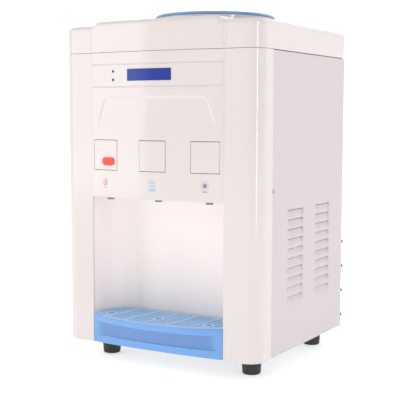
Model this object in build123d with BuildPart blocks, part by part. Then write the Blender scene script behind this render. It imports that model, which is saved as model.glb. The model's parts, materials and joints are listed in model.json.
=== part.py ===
"""Countertop water dispenser: cabinet, tanks, cooling circuit, taps, buttons and drip tray.

Millimetres, +Z up. The origin is on the counter, under the middle of the outline. -Y is the front.
"""

from build123d import *
from math import atan2, cos, degrees, radians, sin, sqrt
import os

# Cabinet
width = 310.0
y_front = -144.0        # flat front of the two pillars
y_back = 136.0          # rear face of the sheet cabinet
bulge = 8.0             # the fascia between the pillars bows out by this much
crease_x = 105.0        # where fascia and pillars meet
corner_r = 22.0
foot_h = 28.5           # underside of the cabinet above the counter
seam_z = 431.5          # joint line between cabinet and top cover
side_seam_y = -105.0    # joint line between front moulding and side sheets
wall = 3.0              # moulded plastic
sheet = 1.2             # steel sheet
gap = 0.3               # clearance between pieces that meet
sheet_inset = 1.2       # side sheets stand this far inside the mouldings
opening_cut = 60.0      # cutters through the front are this long, well past the wall
rear_flange = 14.0      # side sheets turn in by this much at the back
rear_margin = 3.0       # the back panel ends this far from the cabinet's top and bottom

# Top cover and bottle seat
cover_side_z = 469.0
cover_mid_z = 474.0
cover_edge_r = 9.0
collar_z = 485.5
ring_z = 490.0
ring_r = 87.0
seat_y = 15.0           # bottle axis
funnel_r = 74.0
neck_r = 28.5           # takes the neck of a 20 litre bottle
neck_top_z = 446.0
neck_bottom_z = 409.0
seat_wall = 2.5
seat_edge_r = 3.5
band_half = 100.0       # the raised middle band of the cover reaches this far each side
band_edge_r = 4.5
collar_foot_r = 3.0     # fillet where the collar meets the cover

# Alcove and drip tray
alcove_top_z = 235.0
alcove_back_y = -84.0
alcove_corner_r = 38.0
liner_wall = 2.4
liner_floor_z = 35.0
ceiling_gap = 1.0       # the alcove's ceiling lies this far above the fascia's lower edge
tray_top_z = 71.0
tray_skirt_z = 29.0
tray_front_y = -170.0
tray_foot_y = -149.0
tray_half = 103.8
tray_wall = 2.4
tray_back_gap = 2.0
tray_ledge = 5.0        # the grille rests on a ledge this wide
tray_pull = 0.55        # how square the tray's front is, from 0 for a point to 1 for a box
grille_t = 3.0
grille_drop = 0.2       # the grille lies this far under the tray's rim
rib_proud = 0.5
hole_rim = 2.0
slat_pitch = 4.6
slat_w = 2.2
rib_w = 2.4
rib_pitch = 33.0
rib_lean = 9.0          # degrees from front-to-back
drip_hole_r = 5.6

# Taps and buttons
tap_pitch = 79.0
tap_y = -136.0
nozzle_tip_z = 231.5
nozzle_r = 5.0
tap_body_r = 7.4
tap_front_y = -138.2    # front of the tap's cheeks, behind the pressed buttons
tap_rear_y = -118.0
tap_cheek_x = 11.0
tap_cheek_t = 3.0
tap_cheek_z = 291.0
tap_top_z = 272.0
tap_bridge_z = (271.0, 275.7)
tap_flange = 30.0
valve_r = 4.8
valve_z = 254.0
hose_z = 250.0
button_size = 40.4
button_gap = 0.5
button_z = 293.0
button_t = 3.0
button_proud = 0.6
button_travel = 4.0
button_lift_ratio = 0.6     # valve lift for each millimetre of button travel
plunger_r = 2.5
bar_z = 283.0               # underside of the plunger's cross bar
bar_size = (17.0, 5.0, 4.0)
rail_x = 7.5                # the button's rails stand this far each side of its middle
rail_t = 3.2
rail_foot_z = 276.0
rail_back_y = -129.0
spring_z = 280.0
spring_r = 2.6
spring_wire_r = 0.35

# Indicator strip
groove_low_z = 385.4
groove_high_z = 415.5
groove_w = 1.4
groove_depth = 0.9
led_x = -64.5
led_zs = (394.6, 406.0)
led_r = 1.5
badge_x = (-40.0, 29.5)
badge_z = (393.0, 408.8)
badge_t = 0.8
badge_glue = 0.05
led_z = sum(led_zs) / 2
board_size = (32.0, 30.0, 1.6)
board_post_x = 11.0
lock_x = -73.0
lock_z = 284.4
lock_w = 19.6
lock_h = 11.0
lock_travel = 5.0
lock_t = 2.4
lock_stem = 4.0
lock_catch = 7.0

# Feet
foot_x = 116.0
foot_ys = (-85.0, 112.0)
foot_r_low = 12.3
foot_r_high = 14.5
foot_collar = 1.5
foot_collar_h = 4.0
foot_bolt_r = 2.0
foot_recess_r = 5.0
foot_recess_z = 18.0

# Side louvres
louvre_ys = (-31.0, 59.0)
louvre_len = 48.0
louvre_rows = 10
louvre_pitch = 13.2
louvre_top_z = 220.0
louvre_slot = 4.0
louvre_depth = 2.2      # the flap under each slot leans in by this much

# Tanks
tank_r = 72.0
tank_z = (275.0, 398.0)
tank_wall = 1.0
spout_r = 4.0
spout_len = 16.0
lid_flange = 3.0
lid_cup_h = 12.0
baffle_z = 352.0
coil_r = 3.0
coil_z = (285.0, 330.0)
coil_turns = 5
jacket_in_r = 79.0
jacket_out_r = 92.0
jacket_low_z = 262.0
hot_x = -88.0
hot_y = 40.0
hot_r = 40.0
hot_z = (110.0, 230.0)
hot_jacket_r = 54.0
hot_wall = 1.2
hot_edge_r = 6.0
jacket_cap = 6.0        # foam under the hot tank
heater_z = (130.0, 170.0)
heater_t = 3.4
drain_r = 7.0
drain_bore = 4.5
drain_low_z = 12.0
cap_r = 11.5
cap_z = (9.0, 23.0)

# Compressor and condenser
comp_x = 45.0
comp_y = 55.0
comp_r = 62.0
comp_z = (49.3, 182.0)
comp_dome_r = 44.0
comp_foot_r = 8.0
comp_seam_z = (98.0, 104.0)
comp_shell_t = 5.0
pump_r = 34.0
comp_gas_z = (62.0, 140.0)
comp_plate = (134.0, 104.0, 3.4)
grommet_z = 46.0
grommet_x = 56.0
grommet_y = 42.0
cond_r = 2.5
cond_half = 145.5
cond_outer_y = 166.0
cond_inner_y = 152.0
cond_top_z = 154.0
cond_pitch = 38.0
wire_r = 0.75
wire_y = 169.25
wire_pitch = 10.0
wire_count = 26
wire_over = 8.0
bracket_x = 96.0
port_x = -120.0         # where the refrigerant pipes pass through the back panel
port_high_z = 172.0
port_low_z = 60.0
drier_y = 122.0
drier_r = 8.5
drier_x = (-100.0, -90.0, -42.0, -30.0)

# Switches and cord gland
switch_xs = (-80.0, -50.0)
switch_z = 330.0
switch_size = (16.0, 22.5)
switch_body = (12.6, 18.6)
switch_well = (10.6, 16.8)
rocker_r = 8.1
rocker_w = 10.0
gland_x = -115.0
gland_r = 10.0
cord_r = 4.0

# Screws
side_screw_z = 249.0
rear_screw_zs = (60.0, 230.0, 405.0)

# Base
pan_z = 32.0
pan_t = 2.0
pan_rim = 14.0
pan_corner_r = 16.0
pan_front = y_front + 8.0
pan_back = y_back - 3.0
pan_half = width / 2 - wall - gap
hose_r = 5.0
hose_bore = 3.0

bow_r = (crease_x ** 2 + bulge ** 2) / (2 * bulge)
bow_y = y_front - bulge + bow_r


def fascia_y(x, inset=0.0):
    """Y of the bowed fascia at x, moved inwards by inset."""
    return bow_y - sqrt((bow_r - inset) ** 2 - x ** 2)


def plan(inset, back):
    """Outline of the cabinet seen from above: two rounded pillars with the bowed fascia between."""
    half = width / 2 - inset
    front = y_front + inset
    r = corner_r - inset
    meet = sqrt((bow_r - inset) ** 2 - (bow_y - front) ** 2)
    k = r * (1 - sqrt(0.5))
    with BuildSketch() as shape:
        with BuildLine():
            Polyline((half, front + r), (half, back), (-half, back), (-half, front + r))
            ThreePointArc((-half, front + r), (-half + k, front + k), (-half + r, front))
            Line((-half + r, front), (-meet, front))
            ThreePointArc((-meet, front), (0, fascia_y(0, inset)), (meet, front))
            Line((meet, front), (half - r, front))
            ThreePointArc((half - r, front), (half - k, front + k), (half, front + r))
        make_face()
    return shape.sketch


def bow_strip(x_low, x_high, outer, inner):
    """A strip that follows the fascia between two insets, cut off at two values of x."""
    middle = (x_low + x_high) / 2
    with BuildSketch() as shape:
        with BuildLine():
            ThreePointArc((x_low, fascia_y(x_low, outer)), (middle, fascia_y(middle, outer)),
                          (x_high, fascia_y(x_high, outer)))
            Line((x_high, fascia_y(x_high, outer)), (x_high, fascia_y(x_high, inner)))
            ThreePointArc((x_high, fascia_y(x_high, inner)), (middle, fascia_y(middle, inner)),
                          (x_low, fascia_y(x_low, inner)))
            Line((x_low, fascia_y(x_low, inner)), (x_low, fascia_y(x_low, outer)))
        make_face()
    return shape.sketch


def pipe(points, bend, radius, bore=0.0):
    """A round pipe along straight runs joined by arcs of one radius."""
    with BuildPart() as run:
        with BuildLine() as route:
            FilletPolyline(*points, radius=bend)
        with BuildSketch(Plane(route.line @ 0, z_dir=route.line % 0)):
            Circle(radius)
            if bore:
                Circle(bore, mode=Mode.SUBTRACT)
        sweep()
    return run.part


def tray_plan(front_y, inset):
    """Outline of the drip tray: bowed front, round back corners."""
    half = tray_half - inset
    back = alcove_back_y - tray_back_gap - inset
    front = front_y + inset
    shoulder = y_front + inset
    k = sqrt(0.5)
    r = alcove_corner_r - inset
    with BuildSketch() as shape:
        with BuildLine():
            Line((half, shoulder), (half, back - r))
            ThreePointArc((half, back - r), (half - r + r * k, back - r + r * k), (half - r, back))
            Line((half - r, back), (-half + r, back))
            ThreePointArc((-half + r, back), (-half + r - r * k, back - r + r * k), (-half, back - r))
            Line((-half, back - r), (-half, shoulder))
            pull = (4 * front - shoulder) / 3
            Bezier((-half, shoulder), (-half * tray_pull, pull), (half * tray_pull, pull), (half, shoulder))
        make_face()
    return shape.sketch


# ---------------------------------------------------------------- cabinet
with BuildPart() as base_pan:
    pan_mid = (pan_front + pan_back) / 2
    pan_len = pan_back - pan_front
    with BuildSketch(Plane.XY.offset(pan_z - pan_t)):
        with Locations((0, pan_mid)):
            RectangleRounded(2 * pan_half, pan_len, pan_corner_r)
    extrude(amount=pan_rim)
    with BuildSketch(Plane.XY.offset(pan_z)):
        with Locations((0, pan_mid)):
            RectangleRounded(2 * (pan_half - sheet), pan_len - 2 * sheet, pan_corner_r - sheet)
    extrude(amount=pan_rim, mode=Mode.SUBTRACT)
    with BuildSketch(Plane.XY.offset(pan_z)):
        with Locations((0, alcove_back_y + 2 * wall)):
            Rectangle(2 * (crease_x + wall + 1.0), pan_len, align=(Align.CENTER, Align.MAX))
    extrude(amount=pan_rim, mode=Mode.SUBTRACT)
    with Locations(*[(sx * foot_x, fy, pan_z) for sx in (-1, 1) for fy in foot_ys]):
        Hole(radius=foot_bolt_r + 0.2, depth=3 * pan_t)
    with Locations((hot_x, hot_y, pan_z)):
        Hole(radius=drain_r + 0.5, depth=3 * pan_t)
base_pan.part.label = "base_pan"

feet = []
for side, sx in (("left", -1), ("right", 1)):
    for end, fy in zip(("front", "rear"), foot_ys):
        foot_top_z = pan_z - pan_t
        with BuildPart() as foot:
            with BuildSketch():
                with Locations((sx * foot_x, fy)):
                    Circle(foot_r_low)
            with BuildSketch(Plane.XY.offset(foot_top_z - foot_collar_h)):
                with Locations((sx * foot_x, fy)):
                    Circle(foot_r_high)
            loft()
            with BuildSketch(Plane.XY.offset(foot_top_z - foot_collar_h)):
                with Locations((sx * foot_x, fy)):
                    Circle(foot_r_high + foot_collar)
            extrude(amount=foot_collar_h)
            with BuildSketch():
                with Locations((sx * foot_x, fy)):
                    Circle(foot_recess_r)
            extrude(amount=foot_recess_z, mode=Mode.SUBTRACT)
            with BuildSketch():
                with Locations((sx * foot_x, fy)):
                    Circle(foot_bolt_r + 0.2)
            extrude(amount=pan_z, mode=Mode.SUBTRACT)
        foot.part.label = f"foot_{end}_{side}"
        feet.append(foot)

with BuildPart() as front_panel:
    with BuildSketch(Plane.XY.offset(foot_h)):
        add(plan(0, side_seam_y))
        add(plan(wall, side_seam_y + 10), mode=Mode.SUBTRACT)
    extrude(amount=seam_z - foot_h)
    with BuildSketch(Plane.XY.offset(foot_h)):
        with Locations((0, y_front)):
            Rectangle(2 * crease_x, opening_cut)
    extrude(amount=alcove_top_z - foot_h, mode=Mode.SUBTRACT)
    with BuildSketch(Plane.XY.offset(button_z - button_size / 2 - button_gap)):
        with Locations(*[(i * tap_pitch, y_front) for i in (-1, 0, 1)]):
            Rectangle(button_size + 2 * button_gap, opening_cut)
    extrude(amount=button_size + 2 * button_gap, mode=Mode.SUBTRACT)
    for groove_z in (groove_low_z, groove_high_z):
        with BuildSketch(Plane.XY.offset(groove_z - groove_w / 2)):
            add(bow_strip(-crease_x + groove_w, crease_x - groove_w, -groove_depth, groove_depth))
        extrude(amount=groove_w, mode=Mode.SUBTRACT)
    with BuildSketch(Plane.XZ.offset(-y_front + opening_cut / 2)):
        with Locations(*[(led_x, z) for z in led_zs]):
            Circle(led_r + 0.1)
    extrude(amount=-opening_cut, mode=Mode.SUBTRACT)
    with BuildSketch(Plane.XZ.offset(-(y_front + wall))):
        with Locations((led_x - board_post_x, led_z), (led_x + board_post_x, led_z)):
            Circle(2.5)
    extrude(amount=2 * wall)
front_panel.part.label = "front_panel"

with BuildPart() as badge_plate:
    with BuildSketch(Plane.XY.offset(badge_z[0])):
        add(bow_strip(badge_x[0], badge_x[1], -badge_t - badge_glue, -badge_glue))
    extrude(amount=badge_z[1] - badge_z[0])
badge_plate.part.label = "badge_plate"

side_panels = []
face_x = width / 2 - sheet_inset
tongue_x = face_x - 2.2         # a joggled tongue slides behind the front moulding's edge
tongue_len = 10.0
for side, sx in (("left", -1), ("right", 1)):
    inner_x = face_x - sheet
    with BuildPart() as side_panel:
        with BuildSketch(Plane.XY.offset(foot_h)):
            with BuildLine():
                outline = [(face_x, side_seam_y + gap), (face_x, y_back), (face_x - rear_flange, y_back),
                           (face_x - rear_flange, y_back - sheet), (inner_x, y_back - sheet),
                           (inner_x, side_seam_y + 8), (tongue_x - 1, side_seam_y + 4),
                           (tongue_x - 1, side_seam_y - tongue_len), (tongue_x, side_seam_y - tongue_len),
                           (tongue_x, side_seam_y + 2.5), (inner_x, side_seam_y + 4.5),
                           (inner_x, side_seam_y + gap)]
                Polyline([(sx * x, y) for x, y in outline], close=True)
            make_face()
        extrude(amount=seam_z - gap - foot_h)
        for row in range(louvre_rows):
            z = louvre_top_z - row * louvre_pitch
            with BuildSketch(Plane.YZ.offset(sx * (face_x - 2 * sheet))):
                with Locations(*[(y, z) for y in louvre_ys]):
                    SlotOverall(louvre_len, louvre_slot)
            extrude(amount=sx * 4 * sheet, mode=Mode.SUBTRACT)
            for y in louvre_ys:
                low = z - louvre_slot / 2
                flap = [(face_x, low - 0.4), (face_x, low), (face_x - louvre_depth, z + 0.4),
                        (face_x - louvre_depth - sheet, z), (inner_x, low - 0.4)]
                with BuildSketch(Plane.XZ.offset(-(y - louvre_len / 2 + louvre_slot / 2))):
                    with BuildLine():
                        Polyline([(sx * px, pz) for px, pz in flap], close=True)
                    make_face()
                extrude(amount=-(louvre_len - louvre_slot))
        with BuildSketch(Plane.XY.offset(foot_h)):
            with Locations((sx * (inner_x - 2.5), side_seam_y - tongue_len / 2)):
                Rectangle(4.98, 2 * tongue_len + 4)
        extrude(amount=pan_z + pan_rim + pan_t - foot_h, mode=Mode.SUBTRACT)
    side_panel.part.label = f"side_panel_{side}"
    side_panels.append(side_panel)

with BuildPart() as back_panel:
    vent_x = 62.0
    vent_rows = 7
    vent_pitch = 15.0
    vent_low_z = 52.0
    with BuildSketch(Plane.XZ.offset(-(y_back - 2 * sheet - gap))):
        with Locations((0, (seam_z + foot_h) / 2 + 2)):
            Rectangle(2 * (face_x - sheet - gap), seam_z - foot_h - 2 * rear_margin)
    extrude(amount=-sheet)
    with BuildSketch(Plane.XZ.offset(-(y_back - opening_cut / 2))):
        with Locations(*[(x, switch_z) for x in switch_xs]):
            Rectangle(switch_body[0] + 0.4, switch_body[1] + 0.4)
        with Locations((gland_x, switch_z)):
            Circle(cord_r + wall)
        with Locations((port_x, port_high_z), (port_x, port_low_z)):
            Circle(cond_r + 1.5)
        for row in range(vent_rows):
            with Locations(*[(column, vent_low_z + row * vent_pitch) for column in (-vent_x, 0, vent_x)]):
                SlotOverall(46, 5)
    extrude(amount=-opening_cut, mode=Mode.SUBTRACT)
back_panel.part.label = "back_panel"

back_face = y_back - sheet - gap

# ---------------------------------------------------------------- alcove, tray and grille
with BuildPart() as alcove_liner:
    liner_half = crease_x + liner_wall
    liner_front = y_front + wall + gap
    ceiling_z = alcove_top_z + ceiling_gap
    for half, back, low, high, mode in (
            (liner_half, alcove_back_y + liner_wall, pan_z + gap, ceiling_z + liner_wall, Mode.ADD),
            (crease_x, alcove_back_y, liner_floor_z, ceiling_z, Mode.SUBTRACT)):
        with BuildSketch(Plane.XY.offset(low)) as footprint:
            with Locations((0, (liner_front + back) / 2)):
                Rectangle(2 * half, back - liner_front)
            fillet(footprint.vertices().group_by(Axis.Y)[-1], alcove_corner_r + half - crease_x)
        extrude(amount=high - low, mode=mode)
    with BuildSketch(Plane.XY.offset(ceiling_z)):
        add(bow_strip(-crease_x + 4, crease_x - 4, wall + gap, wall + 10))
    extrude(amount=liner_wall)
    with Locations(*[(i * tap_pitch, tap_y, ceiling_z + liner_wall) for i in (-1, 0, 1)]):
        Hole(radius=nozzle_r + 0.6, depth=2 * liner_wall)
alcove_liner.part.label = "alcove_liner"

ledge_z = tray_top_z - grille_drop - grille_t - gap

with BuildPart() as drip_tray:
    with BuildSketch(Plane.XY.offset(tray_skirt_z)):
        add(tray_plan(tray_foot_y, 0))
    with BuildSketch(Plane.XY.offset(tray_top_z)):
        add(tray_plan(tray_front_y, 0))
    loft(ruled=True)
    with BuildSketch(Plane.XY.offset(tray_skirt_z - 1)):
        with Locations((0, y_front + 2.5)):
            Rectangle(3 * tray_half, opening_cut * 2, align=(Align.CENTER, Align.MIN))
    extrude(amount=liner_floor_z + gap - tray_skirt_z + 1, mode=Mode.SUBTRACT)
    with BuildSketch(Plane.XY.offset(liner_floor_z + gap + tray_wall)):
        add(tray_plan(tray_foot_y - 3, tray_ledge))
    with BuildSketch(Plane.XY.offset(ledge_z)):
        add(tray_plan(tray_front_y + 2, tray_ledge))
    loft(ruled=True, mode=Mode.SUBTRACT)
    with BuildSketch(Plane.XY.offset(ledge_z)):
        add(tray_plan(tray_front_y, tray_wall))
    extrude(amount=2 * grille_t, mode=Mode.SUBTRACT)
drip_tray.part.label = "drip_tray"

drip_points = [(i * tap_pitch, tap_y - 1) for i in (-1, 0, 1)]

with BuildPart() as drip_grille:
    grille_inset = tray_wall + gap
    tray_mid = (alcove_back_y + tray_front_y) / 2
    with BuildSketch(Plane.XY.offset(ledge_z + gap)):
        slats = int((alcove_back_y - tray_front_y) / slat_pitch)
        with Locations((0, tray_mid)):
            with GridLocations(1, slat_pitch, 1, slats + 1):
                Rectangle(2 * tray_half, slat_w)
        with Locations(*[(i * rib_pitch, tray_mid) for i in range(-2, 3)]):
            Rectangle(rib_w, opening_cut * 2, rotation=-rib_lean)
        with Locations(*drip_points):
            Circle(drip_hole_r + hole_rim + 0.6)
        add(tray_plan(tray_front_y, grille_inset), mode=Mode.INTERSECT)
        add(tray_plan(tray_front_y, grille_inset) - tray_plan(tray_front_y, grille_inset + 4))
        with Locations(*drip_points):
            Circle(drip_hole_r, mode=Mode.SUBTRACT)
    extrude(amount=grille_t)
    with BuildSketch(Plane.XY.offset(tray_top_z - grille_drop)):
        with Locations(*[(i * rib_pitch, tray_mid) for i in range(-2, 3)]):
            Rectangle(rib_w, opening_cut * 2, rotation=-rib_lean)
        add(tray_plan(tray_front_y, grille_inset + 4), mode=Mode.INTERSECT)
        with Locations(*drip_points):
            Circle(drip_hole_r + hole_rim, mode=Mode.SUBTRACT)
    extrude(amount=rib_proud)
    with BuildSketch(Plane.XY.offset(tray_top_z - grille_drop)):
        with Locations(*drip_points):
            Circle(drip_hole_r + hole_rim)
            Circle(drip_hole_r, mode=Mode.SUBTRACT)
    extrude(amount=2 * rib_proud)
drip_grille.part.label = "drip_grille"

# ---------------------------------------------------------------- top cover and bottle seat
with BuildPart() as top_cover:
    with BuildSketch(Plane.XY.offset(seam_z + gap)):
        add(plan(0, y_back))
    extrude(amount=cover_side_z - seam_z - gap)
    fillet(top_cover.edges().group_by(Axis.Z)[-1], cover_edge_r)
    with BuildSketch(Plane.XY.offset(seam_z + 10)):
        add(plan(0.01, y_back - 6))
        Rectangle(2 * band_half, 2 * width, mode=Mode.INTERSECT)
    extrude(amount=cover_mid_z - seam_z - 10)
    fillet(top_cover.edges().group_by(Axis.Z)[-1], band_edge_r)
    with BuildSketch(Plane.XY.offset(seam_z + gap)):
        add(plan(wall, y_back - wall))
    extrude(amount=cover_side_z - wall - seam_z - gap - 2, mode=Mode.SUBTRACT)
    with BuildSketch(Plane.XY.offset(seam_z)):
        with Locations((0, seat_y)):
            Circle(funnel_r + seat_wall + 1.0)
    extrude(amount=2 * (cover_mid_z - seam_z), mode=Mode.SUBTRACT)
top_cover.part.label = "top_cover"

with BuildPart() as bottle_collar:
    collar_low_z = cover_mid_z + 0.05
    collar_in = funnel_r + seat_wall + 1.0
    collar_out = ring_r - 0.5
    foot_mid = collar_foot_r * (1 - sqrt(0.5))
    with BuildSketch(Plane.XZ.offset(-seat_y)):
        with BuildLine():
            Polyline((collar_in, collar_z), (collar_in, collar_low_z),
                     (collar_out + collar_foot_r, collar_low_z))
            ThreePointArc((collar_out + collar_foot_r, collar_low_z),
                          (collar_out + foot_mid, collar_low_z + foot_mid),
                          (collar_out, collar_low_z + collar_foot_r))
            Polyline((collar_out, collar_low_z + collar_foot_r), (collar_out, collar_z),
                     (collar_in, collar_z))
        make_face()
    revolve(axis=Axis((0, seat_y, 0), (0, 0, 1)))
bottle_collar.part.label = "bottle_collar"

with BuildPart() as bottle_seat:
    edge_mid = seat_edge_r * (1 - sqrt(0.5))
    under_z = collar_z + gap
    outer_r = funnel_r + seat_wall
    with BuildSketch(Plane.XZ.offset(-seat_y)):
        with BuildLine():
            Polyline((neck_r, neck_bottom_z), (neck_r, neck_top_z), (funnel_r, ring_z - 3),
                     (funnel_r + 2, ring_z), (ring_r - seat_edge_r, ring_z))
            ThreePointArc((ring_r - seat_edge_r, ring_z), (ring_r - edge_mid, ring_z - edge_mid),
                          (ring_r, ring_z - seat_edge_r))
            Polyline((ring_r, ring_z - seat_edge_r), (ring_r, under_z), (outer_r, under_z),
                     (outer_r, collar_z - 3), (neck_r + seat_wall, neck_top_z - 2),
                     (neck_r + seat_wall, neck_bottom_z), (neck_r, neck_bottom_z))
        make_face()
    revolve(axis=Axis((0, seat_y, 0), (0, 0, 1)))
bottle_seat.part.label = "bottle_seat"

# ---------------------------------------------------------------- cold tank and evaporator
cold_ports = {"cold": (30.0, -20.0), "normal": (0.0, -35.0), "feed": (-26.0, 20.0)}
spout_low_z = tank_z[0] - spout_len
suction_xy = (120.0, 70.0)      # where the suction line drops through the shelf
neck_out = neck_r + seat_wall

with BuildPart() as cold_tank:
    with BuildSketch(Plane.XY.offset(tank_z[0])):
        with Locations((0, seat_y)):
            Circle(tank_r)
    extrude(amount=tank_z[1] - tank_z[0])
    fillet(cold_tank.edges().group_by(Axis.Z)[0], 3 * tank_wall)
    with BuildSketch(Plane.XY.offset(tank_z[0] + tank_wall)):
        with Locations((0, seat_y)):
            Circle(tank_r - tank_wall)
    extrude(amount=tank_z[1] - tank_z[0], mode=Mode.SUBTRACT)
    for px, py in cold_ports.values():
        with BuildSketch(Plane.XY.offset(spout_low_z)):
            with Locations((px, py)):
                Circle(spout_r)
        extrude(amount=spout_len + tank_wall)
        with BuildSketch(Plane.XY.offset(spout_low_z)):
            with Locations((px, py)):
                Circle(hose_bore)
        extrude(amount=2 * spout_len, mode=Mode.SUBTRACT)
cold_tank.part.label = "cold_tank"

with BuildPart() as tank_lid:
    lid_skirt = 8.0
    cup_floor = 7.0
    lid_fit = tank_r - tank_wall - gap
    with BuildSketch(Plane.XY.offset(tank_z[1] + 0.1)):
        with Locations((0, seat_y)):
            Circle(tank_r + lid_flange)
    extrude(amount=4)
    with BuildSketch(Plane.XY.offset(tank_z[1] - lid_skirt)):
        with Locations((0, seat_y)):
            Circle(lid_fit)
            Circle(lid_fit - 2, mode=Mode.SUBTRACT)
    extrude(amount=lid_skirt + 0.2)
    with BuildSketch(Plane.XY.offset(tank_z[1])):
        with Locations((0, seat_y)):
            Circle(neck_out + 6)
    extrude(amount=lid_cup_h)
    with BuildSketch(Plane.XY.offset(tank_z[1] - lid_skirt)):
        with Locations((0, seat_y)):
            Circle(neck_r - 4)
    extrude(amount=2 * lid_cup_h, mode=Mode.SUBTRACT)
    with BuildSketch(Plane.XY.offset(tank_z[1] + cup_floor)):
        with Locations((0, seat_y)):
            Circle(neck_out + 2.5)
    extrude(amount=lid_cup_h, mode=Mode.SUBTRACT)
tank_lid.part.label = "tank_lid"

with BuildPart() as seat_gasket:
    gasket_z = tank_z[1] + cup_floor
    with BuildSketch(Plane.XY.offset(gasket_z)):
        with Locations((0, seat_y)):
            Circle(neck_out + 2.2)
            Circle(neck_r - 3, mode=Mode.SUBTRACT)
    extrude(amount=neck_bottom_z - 0.2 - gasket_z)
    with BuildSketch(Plane.XY.offset(neck_bottom_z - 0.3)):
        with Locations((0, seat_y)):
            Circle(neck_out + 2.2)
            Circle(neck_out + gap, mode=Mode.SUBTRACT)
    extrude(amount=2.5)
seat_gasket.part.label = "seat_gasket"

with BuildPart() as cold_baffle:
    baffle_foot_z = tank_z[0] + tank_wall + gap
    with BuildSketch(Plane.XY.offset(baffle_z)):
        with Locations((0, seat_y)):
            Circle(tank_r - tank_wall - 0.4)
        with Locations((0, seat_y)):
            with PolarLocations(0.72 * tank_r, 6):
                Circle(5, mode=Mode.SUBTRACT)
    extrude(amount=3)
    with BuildSketch(Plane.XY.offset(baffle_foot_z)):
        with Locations((0, seat_y)):
            Circle(7)
            Circle(4, mode=Mode.SUBTRACT)
    extrude(amount=baffle_z - baffle_foot_z + 0.5)
cold_baffle.part.label = "cold_baffle"

with BuildPart() as evaporator_coil:
    with BuildLine() as winding:
        Helix(pitch=(coil_z[1] - coil_z[0]) / coil_turns, height=coil_z[1] - coil_z[0],
              radius=tank_r + coil_r + gap, center=(0, seat_y, coil_z[0]))
    with BuildSketch(Plane(winding.line @ 0, z_dir=winding.line % 0)):
        Circle(coil_r)
    sweep(is_frenet=True)
evaporator_coil.part.label = "evaporator_coil"

with BuildPart() as tank_insulation:
    with BuildSketch(Plane.XY.offset(jacket_low_z)):
        with Locations((0, seat_y)):
            Circle(jacket_out_r)
    extrude(amount=tank_z[1] - jacket_low_z - 2)
    with BuildSketch(Plane.XY.offset(tank_z[0] - gap)):
        with Locations((0, seat_y)):
            Circle(jacket_in_r)
    extrude(amount=tank_z[1] - jacket_low_z, mode=Mode.SUBTRACT)
    with BuildSketch(Plane.XY.offset(jacket_low_z - 1)):
        with Locations(*cold_ports.values()):
            Circle(spout_r + 0.4)
    extrude(amount=tank_z[0] - jacket_low_z + 1, mode=Mode.SUBTRACT)
    with BuildSketch(Plane.YZ.offset(jacket_in_r - 2 * coil_r)):
        with Locations((seat_y, coil_z[0]), (seat_y, coil_z[1])):
            Circle(coil_r + 1.0)
    extrude(amount=2 * (jacket_out_r - jacket_in_r), mode=Mode.SUBTRACT)
tank_insulation.part.label = "tank_insulation"

with BuildPart() as tank_shelf:
    shelf_half = face_x - sheet - gap
    shelf_z = jacket_low_z - gap - sheet
    shelf_depth = 190.0
    shelf_flange = 12.0
    shelf_y = seat_y + 2.0
    with BuildSketch(Plane.XY.offset(shelf_z)):
        with Locations((0, shelf_y)):
            Rectangle(2 * shelf_half, shelf_depth)
    extrude(amount=sheet)
    with BuildSketch(Plane.XY.offset(shelf_z - shelf_flange)):
        with Locations(*[(sx * (shelf_half - sheet / 2), shelf_y) for sx in (-1, 1)]):
            Rectangle(sheet, shelf_depth)
    extrude(amount=shelf_flange + sheet)
    with BuildSketch(Plane.XY.offset(shelf_z - shelf_flange)):
        with Locations(*cold_ports.values()):
            Circle(spout_r + 2)
        with Locations(suction_xy):
            Circle(6.0)
    extrude(amount=3 * shelf_flange, mode=Mode.SUBTRACT)
tank_shelf.part.label = "tank_shelf"

# ---------------------------------------------------------------- hot tank
hot_out = (-tap_pitch, hot_y - 20)
hot_in = (-70.0, 30.0)
# the feed hose leaves the cold tank's port for the hot tank's, and crosses the stand's leg at feed_y
leg_x = hot_x + 42.0
feed_slope = (cold_ports["feed"][1] - hot_in[1]) / (cold_ports["feed"][0] - hot_in[0])
feed_y = hot_in[1] + feed_slope * (leg_x - hot_in[0])

hot_port_h = 10.0

with BuildPart() as hot_tank:
    with BuildSketch(Plane.XY.offset(hot_z[0])):
        with Locations((hot_x, hot_y)):
            Circle(hot_r)
    extrude(amount=hot_z[1] - hot_z[0])
    fillet(hot_tank.edges(), hot_edge_r)
    for inset, low in ((hot_edge_r + 1, hot_wall), (hot_wall, hot_edge_r + 1)):
        with BuildSketch(Plane.XY.offset(hot_z[0] + low)):
            with Locations((hot_x, hot_y)):
                Circle(hot_r - inset)
        extrude(amount=hot_z[1] - hot_z[0] - 2 * low, mode=Mode.SUBTRACT)
    for port, low in ((hot_out, hot_z[1] - hot_wall), (hot_in, hot_z[0] - hot_port_h)):
        with BuildSketch(Plane.XY.offset(low)):
            with Locations(port):
                Circle(spout_r)
                Circle(hose_bore, mode=Mode.SUBTRACT)
        extrude(amount=hot_port_h + hot_wall)
    with BuildSketch(Plane.XY.offset(drain_low_z)):
        with Locations((hot_x, hot_y)):
            Circle(drain_r)
            Circle(drain_bore, mode=Mode.SUBTRACT)
    extrude(amount=hot_z[0] + hot_wall - drain_low_z - 0.2)
    with BuildSketch(Plane.XY.offset(hot_z[0] - 2)):
        with Locations((hot_x, hot_y)):
            Circle(drain_bore)
        with Locations(hot_in):
            Circle(hose_bore)
    extrude(amount=hot_edge_r, mode=Mode.SUBTRACT)
hot_tank.part.label = "hot_tank"

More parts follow.
